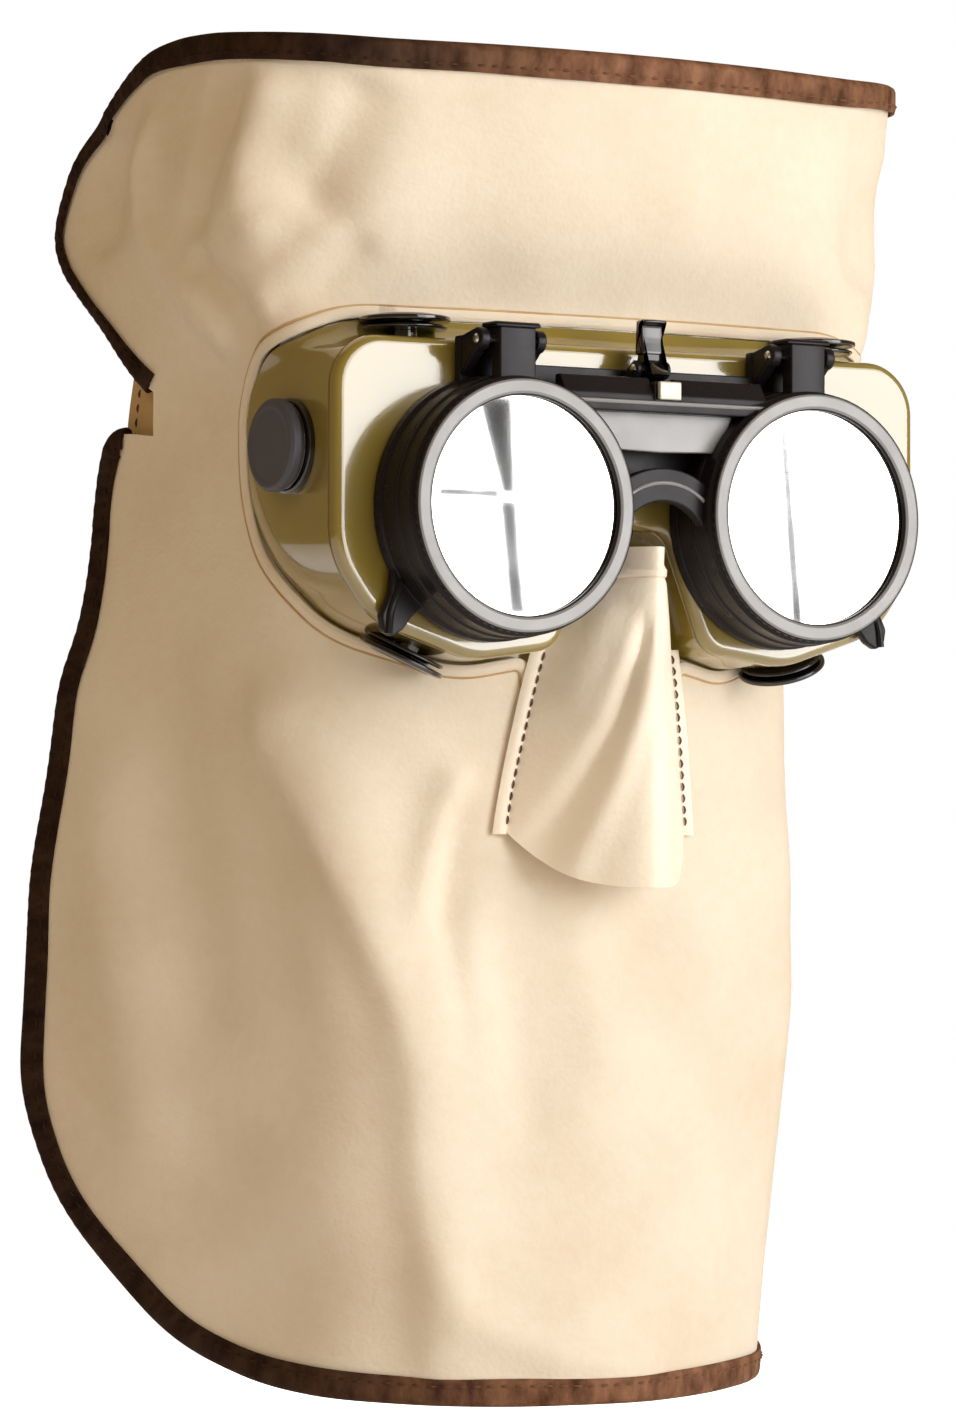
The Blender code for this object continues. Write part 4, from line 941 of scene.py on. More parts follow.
def smooth_line(points, steps):
    """A Catmull-Rom curve through points, with the given steps between each two."""
    points = np.asarray(points, float)
    padded = np.vstack([2 * points[0] - points[1], points, 2 * points[-1] - points[-2]])
    a, b, c, d = (padded[i:len(padded) - 3 + i][:, None] for i in range(4))
    t = (np.arange(steps) / steps)[None, :, None]
    runs = (b + t * (c - a) / 2 + t ** 2 * (2 * a - 5 * b + 4 * c - d) / 2
            + t ** 3 * (3 * b - a - 3 * c + d) / 2)
    return np.vstack([runs.reshape(-1, points.shape[1]), points[-1:]])


def even_line(points, pitch):
    """Points spaced evenly along a line, close to the pitch apart."""
    lengths = distances(points)
    stops = np.linspace(0, lengths[-1], int(round(lengths[-1] / pitch)) + 1)
    return np.stack([np.interp(stops, lengths, column) for column in points.T], axis=1)


def pattern_line(shares, half):
    """A pattern edge from its table of shares, as a smooth line."""
    return smooth_line([(x * half, height_of(z)) for x, z in shares], 10)


brow_edge = pattern_line(brow_edge_shares, brow_half)
jaw_edge = pattern_line(jaw_edge_shares, jaw_half)


def full_corners(shares, half, top, bottom):
    """Both halves of an outline's (x, z, radius) corners in metres, anticlockwise."""
    right = np.stack([shares[:, 0] * half,
                      shares[:, 1] * np.where(shares[:, 1] > 0, top, bottom),
                      shares[:, 2] * half], axis=1)
    return np.vstack([right * (-1, 1, 1), right[::-1]])


def grow(corners, distance):
    """Move an outline's sides outward, and its corner radii with them."""
    _, sine, _, step = corner_turns(corners[:, :2])
    radius = corners[:, 2] + distance * np.sign(sine)
    return np.column_stack([corners[:, :2] + step * distance, np.maximum(radius, 0.2 * mm)])


def round_outline(corners, arc_steps=12):
    """Points round an outline: an arc at each corner and even points on each side.

    Each half has the same number of points on its sides, so two outlines can be joined.
    """
    first, sine, cosine, _ = corner_turns(corners[:, :2])
    turn = np.arctan2(sine, cosine)
    back = corners[:, 2] * np.tan(np.abs(turn) / 2)
    start = corners[:, :2] - first * back[:, None]
    centre = start + np.stack([-first[:, 1], first[:, 0]], axis=1) * (
        np.sign(turn) * corners[:, 2])[:, None]
    spoke = start - centre
    angle = turn[:, None] * np.linspace(0, 1, arc_steps)
    arcs = centre[:, None] + np.stack([
        spoke[:, :1] * np.cos(angle) - spoke[:, 1:] * np.sin(angle),
        spoke[:, :1] * np.sin(angle) + spoke[:, 1:] * np.cos(angle)], axis=-1)
    half = len(corners) // 2
    counts = side_counts[1:half] + [2 * side_counts[-1]] + side_counts[1:half][::-1]
    counts += [2 * side_counts[0]]
    runs = []
    for i, count in enumerate(counts):
        share = np.arange(1, count)[:, None] / count
        after = arcs[(i + 1) % len(arcs)][0]
        runs += [arcs[i], arcs[i][-1] * (1 - share) + after * share]
    return np.vstack(runs)


rim_corners = full_corners(rim_corner_shares, rim_half, rim_top, rim_bottom)
front_corners = full_corners(front_corner_shares, body_half, body_top, body_bottom)


def opening_corners():
    """Corners of the sheet's opening: the goggle's rim, and a slot down under the nose."""
    half = np.vstack([rim_corner_shares[:5] * (rim_half, 1, rim_half), nose_slot_corners])
    half[:5, 1] *= np.where(half[:5, 1] > 0, rim_top, rim_bottom)
    half[5:, 1] = rim_corners[5, 1], nose_slot_bottom
    return np.vstack([half * (-1, 1, 1), half[::-1]])


def inside(points, outline):
    """Which points lie inside a closed outline, by counting the sides they cross."""
    x, z = points[:, :1], points[:, 1:]
    ax, az = outline.T
    bx, bz = np.roll(outline, -1, axis=0).T
    crosses = (az > z) != (bz > z)
    safe = np.where(az == bz, 1, bz - az)
    return (crosses & (x < ax + (z - az) * (bx - ax) / safe)).sum(axis=1) % 2 == 1


def far_from(points, others, distance):
    """Which points lie further than a distance from all the others, in blocks of rows."""
    keep = [np.min(np.sum((block[:, None] - others[None]) ** 2, axis=2), axis=1)
            for block in np.array_split(points, max(1, len(points) // 1500))]
    return np.concatenate(keep) > distance ** 2


def flat_sheet(loops, pitch, extra=()):
    """Fill a flat pattern with triangles: rows of points a pitch apart, each row staggered.

    The first loop is the outer edge and the others are holes. Any extra points are kept, and
    the fill keeps clear of them.
    """

    def within(spots):
        kept = inside(spots, loops[0])
        for hole in loops[1:]:
            kept &= ~inside(spots, hole)
        return kept

    low, high = loops[0].min(axis=0), loops[0].max(axis=0)
    columns = np.arange(low[0], high[0], pitch)
    rows = np.arange(low[1], high[1], pitch * math.sqrt(0.75))
    grid_x, grid_z = np.meshgrid(columns, rows)
    grid_x = grid_x + (np.arange(len(rows)) % 2)[:, None] * pitch / 2
    fill = np.stack([grid_x.ravel(), grid_z.ravel()], axis=1)
    taken = np.vstack([*loops, *extra])
    points = np.vstack([taken, fill[within(fill) & far_from(fill, taken, pitch * 0.6)]])
    sides = []
    start = 0
    for loop in loops:
        order = np.arange(len(loop))
        sides += (np.stack([order, np.roll(order, -1)], axis=1) + start).tolist()
        start += len(loop)
    verts, _, faces, *_ = delaunay_2d_cdt([Vector(p) for p in points.tolist()], sides, [], 0,
                                          1e-7)
    flat = np.array([tuple(vert) for vert in verts])
    faces = np.array(faces)
    return flat, faces[within(flat[faces].mean(axis=1))]


def thick_sheet(flat, faces, place, thickness):
    """A sheet's two faces and its cut edges as one shell, with the flat place of each point."""
    count = len(flat)
    front = place(flat[:, 0], flat[:, 1], thickness / 2)
    back = place(flat[:, 0], flat[:, 1], -thickness / 2)
    pairs = np.vstack([faces[:, [0, 1]], faces[:, [1, 2]], faces[:, [2, 0]]])
    keys = np.sort(pairs, axis=1) @ np.array([count, 1])
    _, first, uses = np.unique(keys, return_index=True, return_counts=True)
    rim = pairs[first[uses == 1]]
    walls = np.stack([rim[:, 1], rim[:, 0], rim[:, 0] + count, rim[:, 1] + count], axis=1)
    everything = faces.tolist() + (faces[:, ::-1] + count).tolist() + walls.tolist()
    both = np.vstack([flat, flat])
    return (np.vstack([front, back]), everything), np.column_stack([both, np.zeros(len(both))])


def guard_edge(brow, jaw):
    """A whole closed edge from the brow's and the jaw's right halves."""
    right = np.vstack([brow, jaw])
    left = (right * (-1, 1))[::-1]
    return np.vstack([right, left[np.abs(left[:, 0]) > small_step]])


def make_guard():
    """The leather sheet with its opening, the hem round it, a thin dark tube that paints the
    shade line outside the hem, and the bindings.
    """
    opening = grow(opening_corners(), opening_clearance)
    hem_lines = [round_outline(grow(opening, d * mm)) for d in (1.0, 2.0, 3.2, 4.6)]
    loops = [guard_edge(even_line(brow_edge, edge_pitch), even_line(jaw_edge, edge_pitch)),
             round_outline(opening)]
    flat, faces = flat_sheet(loops, sheet_pitch, hem_lines)
    shell, places = thick_sheet(flat, faces, guard_point, leather)
    guard = make_piece("leather_guard", [shell], "leather", "goggles",
                       ["face_guard"], flat=places, crease=1.2)
    section = soften(np.array([(-1.45, -0.4), (-1.4, 0.45), (-0.5, 0.8), (0.6, 0.75),
                               (1.35, 0.35), (1.4, -0.4)]) * mm, 0.3 * mm)
    hem = closed_trim("opening_hem", "leather", grow(opening, hem_offset), section, leather / 2)
    # Painted shade: a thin brown tube in the tab leather, outside the hem, draws the shadow line
    # along the hem's outer edge.
    turn = np.linspace(0, math.tau, 9)[:-1]
    section = shade_line_radius * np.stack([np.cos(turn), np.sin(turn)], axis=1)
    shade_line = closed_trim("hem_shade_line", "tab", grow(opening, shade_line_offset), section,
                         leather / 2 + shade_line_lift)
    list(make_bindings())


def closed_trim(name, material, corners, section, lift):
    """A strip of one section round an outline on the sheet."""
    rings, spots = swept_edge(round_outline(corners), section, lift)
    return make_piece(name, [shell_of(rings, wrap_rows=True)], material, "goggles",
                      flat=spots)


def swept_edge(line, section, lift=0.0, closed_line=True):
    """Carry a section of (outward, up) points along a flat line on the bent sheet.

    Outward is in the sheet and square to the line, and up is along the sheet's normal.
    """
    if closed_line:
        along = unit(np.roll(line, -1, axis=0) - np.roll(line, 1, axis=0))
    else:
        along = unit(np.gradient(line, axis=0))
    outward = np.stack([along[:, 1], -along[:, 0]], axis=1)
    base = guard_point(line[:, 0], line[:, 1])
    _, normal = guard_frame(line[:, 0], line[:, 1])
    beside = guard_point(line[:, 0] + outward[:, 0] * small_step,
                         line[:, 1] + outward[:, 1] * small_step)
    out = unit(beside - base)
    normal = unit(normal - out * np.sum(normal * out, axis=1, keepdims=True))
    rings = (base[:, None] + section[None, :, :1] * out[:, None]
             + (section[None, :, 1:] + lift) * normal[:, None])
    return rings, strip_places(distances(base), np.arange(len(section)) * mm)


def strip_places(along, across):
    """Flat places of a strip's points, from their distances along it and across it."""
    return np.stack(np.broadcast_arrays(along[:, None], across, 0.0), axis=-1).reshape(-1, 3)


def make_binding(name, line, node):
    """A folded strip over the sheet's edge: a rounded channel, puckered between stitches.

    It narrows toward the brow's outer corners, and its inner edge wanders a little.
    """
    line = even_line(line, binding_step)
    narrow = np.clip((np.abs(line[:, 0]) - narrow_start) / narrow_run, 0, 1)
    narrow = narrow * (line[:, 1] > narrow_above)
    slot = leather / 2 + binding_room
    outside = slot + binding_wall
    leg = binding_leg
    section = np.array([
        (-leg, slot), (-leg, outside - 0.2 * mm), (-leg * 0.8, outside), (-leg * 0.4, outside),
        (0.0, outside), (0.9 * mm, outside * 0.8), (1.45 * mm, outside * 0.35),
        (1.6 * mm, 0.0), (1.45 * mm, -outside * 0.35), (0.9 * mm, -outside * 0.8),
        (0.0, -outside), (-leg * 0.4, -outside), (-leg * 0.8, -outside),
        (-leg, -outside + 0.2 * mm), (-leg, -slot), (-leg * 0.3, -slot * 0.9),
        (0.5 * mm, 0.0), (-leg * 0.3, slot * 0.9)])
    rings, spots = swept_edge(line, section, closed_line=False)
    edge = rings[:, 4:5]
    inward = section[None, :, :1] < 0
    rings -= inward * (rings - edge) * narrowing * narrow[:, None, None]
    distance = np.arange(len(line)) * binding_step
    pucker = np.cos(distance / stitch_pitch * math.tau)
    drift = np.sin(distance / (23 * mm)) + np.sin(distance / (9.1 * mm) + 1.0) * 0.6
    _, normal = guard_frame(line[:, 0], line[:, 1])
    across = unit(rings[:, 4] - rings[:, 1])
    bulge = (normal * ((0.10 * pucker + 0.10 * drift) * mm)[:, None])[:, None]
    rings[:, 2:6] += bulge
    rings[:, 9:13] -= bulge
    rings[:, :2] += (across * (0.22 * mm * drift)[:, None])[:, None]
    trim = make_piece(name, [shell_of(rings)], "binding", "goggles", [node],
                      flat=spots, crease=1.0)
    seam = rings[:, 2] * 0.65 + rings[:, 3] * 0.35
    thread = make_piece(name + "_stitches", stitches(seam, normal),
                        "binding", "goggles")
    return [trim, thread]


def stitches(path, normals, pitch=stitch_pitch, length=stitch_length, sides=6):
    """Stitches along a path: short tubes that rise by 1.5 sin(pi t) - 0.7 thread radii.

    They are thinnest at their ends, where they dive into the leather.
    """
    reach = distances(path)
    starts = np.arange(pitch / 2, reach[-1] - length, pitch)
    t = np.linspace(0, 1, 6)
    stops = starts[:, None] + t * length
    spots = np.stack([np.interp(stops, reach, column) for column in path.T], axis=-1)
    up = unit(np.stack([np.interp(stops, reach, column) for column in normals.T], axis=-1))
    along = unit(np.gradient(spots, axis=1))
    beside = np.cross(along, up)
    rise = thread_radius * (1.5 * np.sin(math.pi * t) - 0.7)
    spots = spots + up * rise[None, :, None]
    angle = np.arange(sides) * math.tau / sides
    thin = thread_radius * (0.55 + 0.45 * np.sin(math.pi * t))[None, :, None, None]
    rings = spots[:, :, None] + thin * (np.cos(angle)[:, None] * beside[:, :, None]
                                        + np.sin(angle)[:, None] * up[:, :, None])
    return [shell_of(ring) for ring in rings]


def make_bindings():
    """Both bindings: the brow's ends at the temple slits, the jaw's runs from tab to tab."""
    brow = even_line(brow_edge, edge_pitch)[:-1]
    jaw = even_line(jaw_edge, edge_pitch)[5:]
    return (make_binding("brow_trim", np.vstack([brow[::-1], brow[1:] * (-1, 1)]),
                         "brow_binding")
            + make_binding("jaw_trim", np.vstack([jaw * (-1, 1), jaw[::-1][1:]]),
                           "jaw_binding"))


# Folds of the nose cover, in millimetres on its fold spread: lift, widths on both sides of the
# line, and the places that it passes, sideways and down.
nose_creases = [
    (-3.0, 2.2, 5.5, [(-3, 8), (-5, 20), (-9, 33), (-17, 50), (-23, 63)]),
    (2.2, 6.0, 3.0, [(0, 14), (-3, 28), (-8, 42), (-15, 58), (-18, 66)]),
    (-1.3, 5.0, 5.0, [(9, 16), (13, 36), (14, 60)]),
    (0.9, 5.0, 4.0, [(-13, 6), (-16, 20), (-18, 34)]),
]


def surface_normals(grid):
    """Outward normals of a grid whose columns run to +X and whose rows run down."""
    return unit(np.cross(np.gradient(grid, axis=0), np.gradient(grid, axis=1)))


def double_sheet(grid, normal, thickness):
    """A grid of points as a closed sheet of even thickness, with its flat places.

    The flat place of a point is its distance along its row and down its column.
    """
    rows, columns = grid.shape[:2]
    count = rows * columns
    top = grid_faces(rows, columns)
    bottom = [[corner + count for corner in face[::-1]] for face in top]
    index = np.arange(count).reshape(rows, columns)
    border = np.concatenate([index[0, :-1], index[:-1, -1], index[-1, :0:-1], index[:0:-1, 0]])
    after = np.roll(border, -1)
    walls = np.stack([after, border, border + count, after + count], axis=1).tolist()
    outer = grid + normal * thickness / 2
    inner = grid - normal * thickness / 2
    over = np.linalg.norm(np.diff(grid, axis=1, prepend=grid[:, :1]), axis=2)
    down = np.linalg.norm(np.diff(grid, axis=0, prepend=grid[:1]), axis=2)
    flat = np.stack([np.cumsum(over, axis=1), np.cumsum(down, axis=0), np.zeros_like(over)],
                    axis=-1).reshape(-1, 3)
    shell = np.vstack([outer.reshape(-1, 3), inner.reshape(-1, 3)]), top + bottom + walls
    return shell, np.vstack([flat, flat])


def nose_row(share):
    """The level and the half width of a row of the nose cover."""
    level = nose_top + (nose_seam_end - nose_top) * share
    half = nose_half_top + (nose_half_end - nose_half_top) * np.maximum(share, 0) ** 0.6
    return level, half


def nose_surface(sweep, share):
    """The tent over the nose: sweep runs from seam to seam, share from its top to its hem.

    A row's depth goes from the guard to the ridge by (1 - |s|^1.5)(1 - 0.12 s^2), its half
    width grows with share^0.6, and the hem drops by share^3 (1 - |s|^3.2).
    """
    level, half = nose_row(share)
    bulge = (1 - np.abs(sweep) ** 1.5) * (1 - 0.12 * sweep ** 2)
    tuck = np.maximum(0, (level - nose_seam_top) / (nose_top - nose_seam_top))
    edge = np.where(sweep < 0, -half, half)
    seat = guard_point(edge.ravel(), level.ravel(), leather + gap)[:, 1].reshape(half.shape)
    seat = seat - tuck * nose_tuck
    depth = seat + (-nose_ridge - tuck * leather - seat) * bulge
    height = level - nose_tip_drop * np.maximum(share, 0) ** 3 * (1 - np.abs(sweep) ** 3.2)
    return np.stack([half * sweep, depth, height], axis=-1)


def grid_area(grid):
    """Area of a grid of places: the sum of its cells' cross products."""
    down = np.diff(grid, axis=0)[:, :-1]
    over = np.diff(grid, axis=1)[:-1]
    return np.linalg.norm(np.cross(down, over), axis=-1).sum()


def seam_line(side, share, outset, lift):
    """Places beside the nose cover's seam, on the guard: outset from the seam, and lifted."""
    level, half = nose_row(share)
    return guard_point(side * (half + outset), level, lift)


def nose_grid():
    """The tent's grid of places, with its folds and a raised line and a groove near its top."""
    top_share = (nose_rim - nose_top) / (nose_seam_end - nose_top)
    share, sweep = np.meshgrid(np.linspace(top_share, 1, 96), np.linspace(-1, 1, 97),
                               indexing='ij')
    points = nose_surface(sweep, share)
    normal = surface_normals(points)
    fade = np.clip((1 - np.abs(sweep)) / 0.12, 0, 1)
    lift = np.zeros_like(share)
    wide, tall = nose_fold_spread
    for size, left, right, path in nose_creases:
        lift += crease(sweep.ravel() * wide, share.ravel() * tall, size, left, right,
                       path).reshape(share.shape) * mm
    band = share - 0.045 - 0.02 * sweep ** 2
    lift = lift * fade + 0.5 * mm * np.exp(-((band + 0.02) / 0.012) ** 2)
    lift -= 0.7 * mm * np.exp(-(band / 0.008) ** 2)
    return points + normal * lift[..., None]


def make_nose_cover():
    """The sewn leather tent, its margins on the guard, and its stitches."""
    points = nose_grid()
    shells = [double_sheet(points, surface_normals(points), leather)]
    area = grid_area(points)
    down = np.linspace(*nose_seam_shares, 90)
    for side in (-1, 1):
        strip = np.array([seam_line(side, down, nose_margin * t,
                                    leather * (0.85 + 0.5 * math.sin(math.pi * t)) + gap)
                          for t in np.linspace(-0.1, 1, 12)]).transpose(1, 0, 2)[:, ::side]
        shells.append(double_sheet(strip, surface_normals(strip), leather * 0.8))
        area += grid_area(strip)
    cover = make_piece("nose_tent", [shell for shell, _ in shells], "nose", "goggles",
                       ["nose_cover"],
                       flat=np.vstack([places for _, places in shells]))
    threads = []
    for side in (-1, 1):
        path = seam_line(side, down, 0.5 * mm, leather * 1.75 + gap)
        up = guard_frame(side * nose_half_end * np.ones_like(down), path[:, 2])[1]
        threads += stitches(path, up, nose_stitch_pitch, nose_stitch_length)
    thread = make_piece("nose_stitches", threads, "thread", "goggles")


def body_rows():
    """Rows of the goggle shell: its rounded front edge, side, flange, then back inside it."""
    def front(outset, forward):
        return at_depth(round_outline(grow(front_corners, outset)), -forward)

    def rim(outset, lift):
        outline = round_outline(grow(rim_corners, outset))
        return seat_point(outline[:, 0], outline[:, 1], lift)

    def between(first, last, share):
        blend = first * (1 - share) + last * share
        late = first[:, 2] * (1 - share ** 4) + last[:, 2] * share ** 4
        blend[:, 2] = np.minimum(blend[:, 2], late)
        return blend

    seal = leather / 2 + flange_gap
    back = -seal - flange_thickness
    turn = np.linspace(0, math.pi / 2, 7)
    side_start = body_front - body_edge - bead_width
    mouth = front(0, side_start)
    skirt = rim(0, leather / 2 + gap)
    rows = [front(-body_edge - 0.4 * mm, body_front)]
    rows += [front(-body_edge * (1 - math.sin(a)), body_front - body_edge * (1 - math.cos(a)))
             for a in turn]
    rows += [front(0.1 * mm, body_front - body_edge - bead_width * 0.35),
             front(-bead_pinch, body_front - body_edge - bead_width * 0.7), mouth]
    rows += [between(mouth, skirt, share) for share in np.linspace(0.08, 1, 14)]
    rows += [rim(0, -seal), rim(flange_width - 0.5 * mm, -seal),
             rim(flange_width, -seal - flange_thickness / 2),
             rim(flange_width - 0.5 * mm, back), rim(-body_wall, back)]
    inner_mouth = front(-body_wall, side_start)
    inner_skirt = rim(-body_wall, leather / 2 + gap)
    rows += [between(inner_mouth, inner_skirt, share) for share in np.linspace(1, 0, 9)]
    rows += [front(-body_wall - body_edge * 0.3, body_front - body_wall * 1.4),
             front(-body_wall - body_edge, body_front - body_wall)]
    return np.array(rows)


def vent_axis(kind, side):
    """The direction that a vent points in."""
    lean = lower_vent_lean
    axis = {"upper": (0, 0, 1), "side": (side, 0, 0), "lower": (side * lean, lean * 0.7, -1)}
    return Vector(axis[kind]).normalized()


def cut_shell(piece, cutters):
    """Cut closed shells out of a piece."""
    tool = show("cutters", new_mesh("cutters", *joined(cutters)))
    fix_normals(tool.data)
    boolean = piece.modifiers.new("openings", 'BOOLEAN')
    boolean.operation = 'DIFFERENCE'
    boolean.solver = 'EXACT'
    boolean.object = tool
    cut = bpy.data.meshes.new_from_object(piece.evaluated_get(
        bpy.context.evaluated_depsgraph_get()))
    piece.modifiers.clear()
    piece.data = cut
    bpy.data.objects.remove(tool)


def make_body():
    """The shell with its two windows and six vent holes, and the vents in them."""
    body = make_piece("shell", [shell_of(body_rows())], "shell", "goggles",
                      ["goggle_body"], crease=0.7)
    cutters = []
    for word, side in hands:
        window = disc(window_radius, body_front - window_cut, body_front + window_cut, 96)
        cutters.append(on_lens_axis(window, side))
        for kind in vent_sizes:
            centre = vent_centre(kind, word)
            hole = disc(vent_neck + gap, *vent_hole, 40)
            cutters.append(standing(hole, centre, vent_axis(kind, side)))
            make_vent(kind, side, word, centre)
    cut_shell(body, cutters)


def vent_centre(kind, word):
    """The middle of a vent's cap."""
    low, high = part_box(f"vent_cap_{kind}_{word}")
    outward, back, up = vent_shift[kind]
    return (low + high) / 2 + Vector((outward * (1 if word == "left" else -1), back, up))


def make_vent(kind, side, word, centre):
    """A vent: a seat with a plate on the shell and a hub, and a broad cap over its neck."""
    radius, seat_radius, depth, space, thick, hub = (size * mm for size in vent_sizes[kind])
    deep = depth / 2
    plate = -deep - space
    seat = lathe([
        (vent_neck * 0.6, plate - 6 * mm), (vent_neck, plate - 6 * mm),
        (vent_neck, plate - thick), (seat_radius - 0.4 * mm, plate - thick),
        (seat_radius, plate - thick * 0.6), (seat_radius, plate - 0.3 * mm),
        (seat_radius - 0.6 * mm, plate), (hub + 0.4 * mm, plate), (hub, plate + 0.2 * mm),
        (hub, -deep - 0.1 * mm), (vent_neck, -deep - 0.1 * mm), (vent_neck, deep - 1.2 * mm),
        (vent_neck * 0.6, deep - 1.2 * mm)], soft=0.15 * mm)
    axis = vent_axis(kind, side)
    make_piece(f"seat_{kind}_{word}", [standing(seat, centre, axis)], "vent", "goggles",
               [f"vent_seat_{kind}_{word}"])
    bore = vent_neck + gap
    if kind == "side":
        profile = [(0, deep - 0.15 * mm), (radius - 2.4 * mm, deep - 0.12 * mm),
                   (radius - 1.9 * mm, deep), (radius - 0.9 * mm, deep),
                   (radius, deep - 0.8 * mm), (radius, -deep + 0.7 * mm),
                   (radius - 0.8 * mm, -deep), (bore, -deep), (bore, deep - 1.0 * mm),
                   (0, deep - 1.0 * mm)]
    else:
        profile = [(0, deep), (radius - 3.2 * mm, deep), (radius - 2.9 * mm, deep - 0.3 * mm),
                   (radius - 0.9 * mm, deep - 0.35 * mm), (radius, deep - 0.7 * mm),
                   (radius, -deep + 0.5 * mm), (radius - 0.3 * mm, -deep + 0.25 * mm),
                   (bore + 1.2 * mm, -deep), (bore, -deep), (bore, deep - 0.7 * mm),
                   (0, deep - 0.7 * mm)]
    make_piece(f"cap_{kind}_{word}", [standing(lathe(profile, soft=0.22 * mm), centre, axis)],
               "knob" if kind == "side" else "vent", "goggles",
               [f"vent_cap_{kind}_{word}"])


def over_circle(middle, radius, reach, top):
    """An outline in X and Z: a slice above a circle, up to a level, within a reach."""
    angle = np.linspace(math.pi / 2 + math.asin(reach / radius),
                        math.pi / 2 - math.asin(reach / radius), 9)
    arc = np.stack([middle + radius * np.cos(angle), radius * np.sin(angle)], axis=1)
    return np.vstack([arc, [(middle + reach, top), (middle - reach, top)]])


def eye_outline(ahead, height, radius, back, foot, head):
    """An outline in Y and Z: a foot on a plate behind, tapering to a round eye about a pin."""
    turn = np.linspace(0, math.pi, 13)
    eye = np.stack([-ahead - radius * np.sin(turn), height - radius * np.cos(turn)], axis=1)
    return np.vstack([[(-back, foot)], eye, [(-back, head)]])


def make_carrier():
    """The black frame on the shell: two bored cups, a bridge, lugs, cheeks and struts."""
    rim = carrier_radius
    plate_front = carrier_back + carrier_plate
    bore = lens_radius + gap
    shells = []
    cup = lathe([
        (window_radius, carrier_back), (rim + carrier_flare, carrier_back),
        (rim + carrier_flare, plate_front), (rim, plate_front + 0.5 * mm),
        (rim, carrier_front - carrier_flare / 2), (rim - carrier_flare / 2, carrier_front),
        (bore, carrier_front), (bore, inner_back - gap), (window_radius, inner_back - gap)],
        128, soft=0.2 * mm)
    top = hinge_height + lug_radius / 2
    reach = lug_inside + lug_thickness + gap
    root = plate_front - gap * 2
    height = np.linspace(bridge_bottom, 28 * mm, 15)
    curve = np.stack([lens_across - np.sqrt((rim - 0.2 * mm) ** 2 - height ** 2), height], axis=1)
    bridge = np.vstack([curve, [(lens_across - reach, bridge_top)]])
    bridge = np.vstack([bridge, (bridge * (-1, 1))[::-1]])
    shells.append(bar_of(bridge, -carrier_back, -plate_front, 'Y', soft=0.5 * mm))
    for side in (-1, 1):
        shells.append(on_lens_axis(cup, side))
        slab = over_circle(side * lens_across, rim - 0.5 * mm, reach, top)
        shells.append(bar_of(slab, -carrier_back, -plate_front, 'Y', soft=0.8 * mm))
        for beside in (-1, 1):
            eye = eye_outline(hinge_forward, hinge_height, lug_radius, root,
                              carrier_radius - 0.3 * mm, top - gap)
            shells.append(bar_of(eye, side * lens_across + beside * lug_inside,
                                 side * lens_across + beside * (lug_inside + lug_thickness),
                                 'X'))
        eye = eye_outline(latch_forward, latch_height, latch_hub, root,
                          latch_height - latch_hub * 2, bridge_top - gap * 3)
        shells.append(bar_of(eye, side * cheek_inside, side * (cheek_inside + cheek_thickness),
                             'X'))
        shells += struts(side)
    make_piece("carrier", shells, "frame", "goggles", ["hinge_carrier"])


def struts(side):
    """The glossy bracket from a cup down to the lower vent, with a rib along its edge."""
    outline = np.array([(side * (lens_across + x * carrier_radius), z * carrier_radius)
                        for x, z in strut_shares])
    back = body_front + gap * 2
    plate = bar_of(outline, -back, -back - strut_thickness, 'Y', soft=0.6 * mm, edge=0.5 * mm)
    start = outline[1] * 0.7 + outline[8] * 0.3
    end = outline[4] * 0.5 + outline[5] * 0.5
    middle = (start + end) / 2 + (side * 0.8 * mm, 0)
    rib = at_depth(np.array([start, middle, end]), -back - strut_thickness)
    return [plate, tube(smooth_line(rib, 6), 0.9 * mm, 10)]


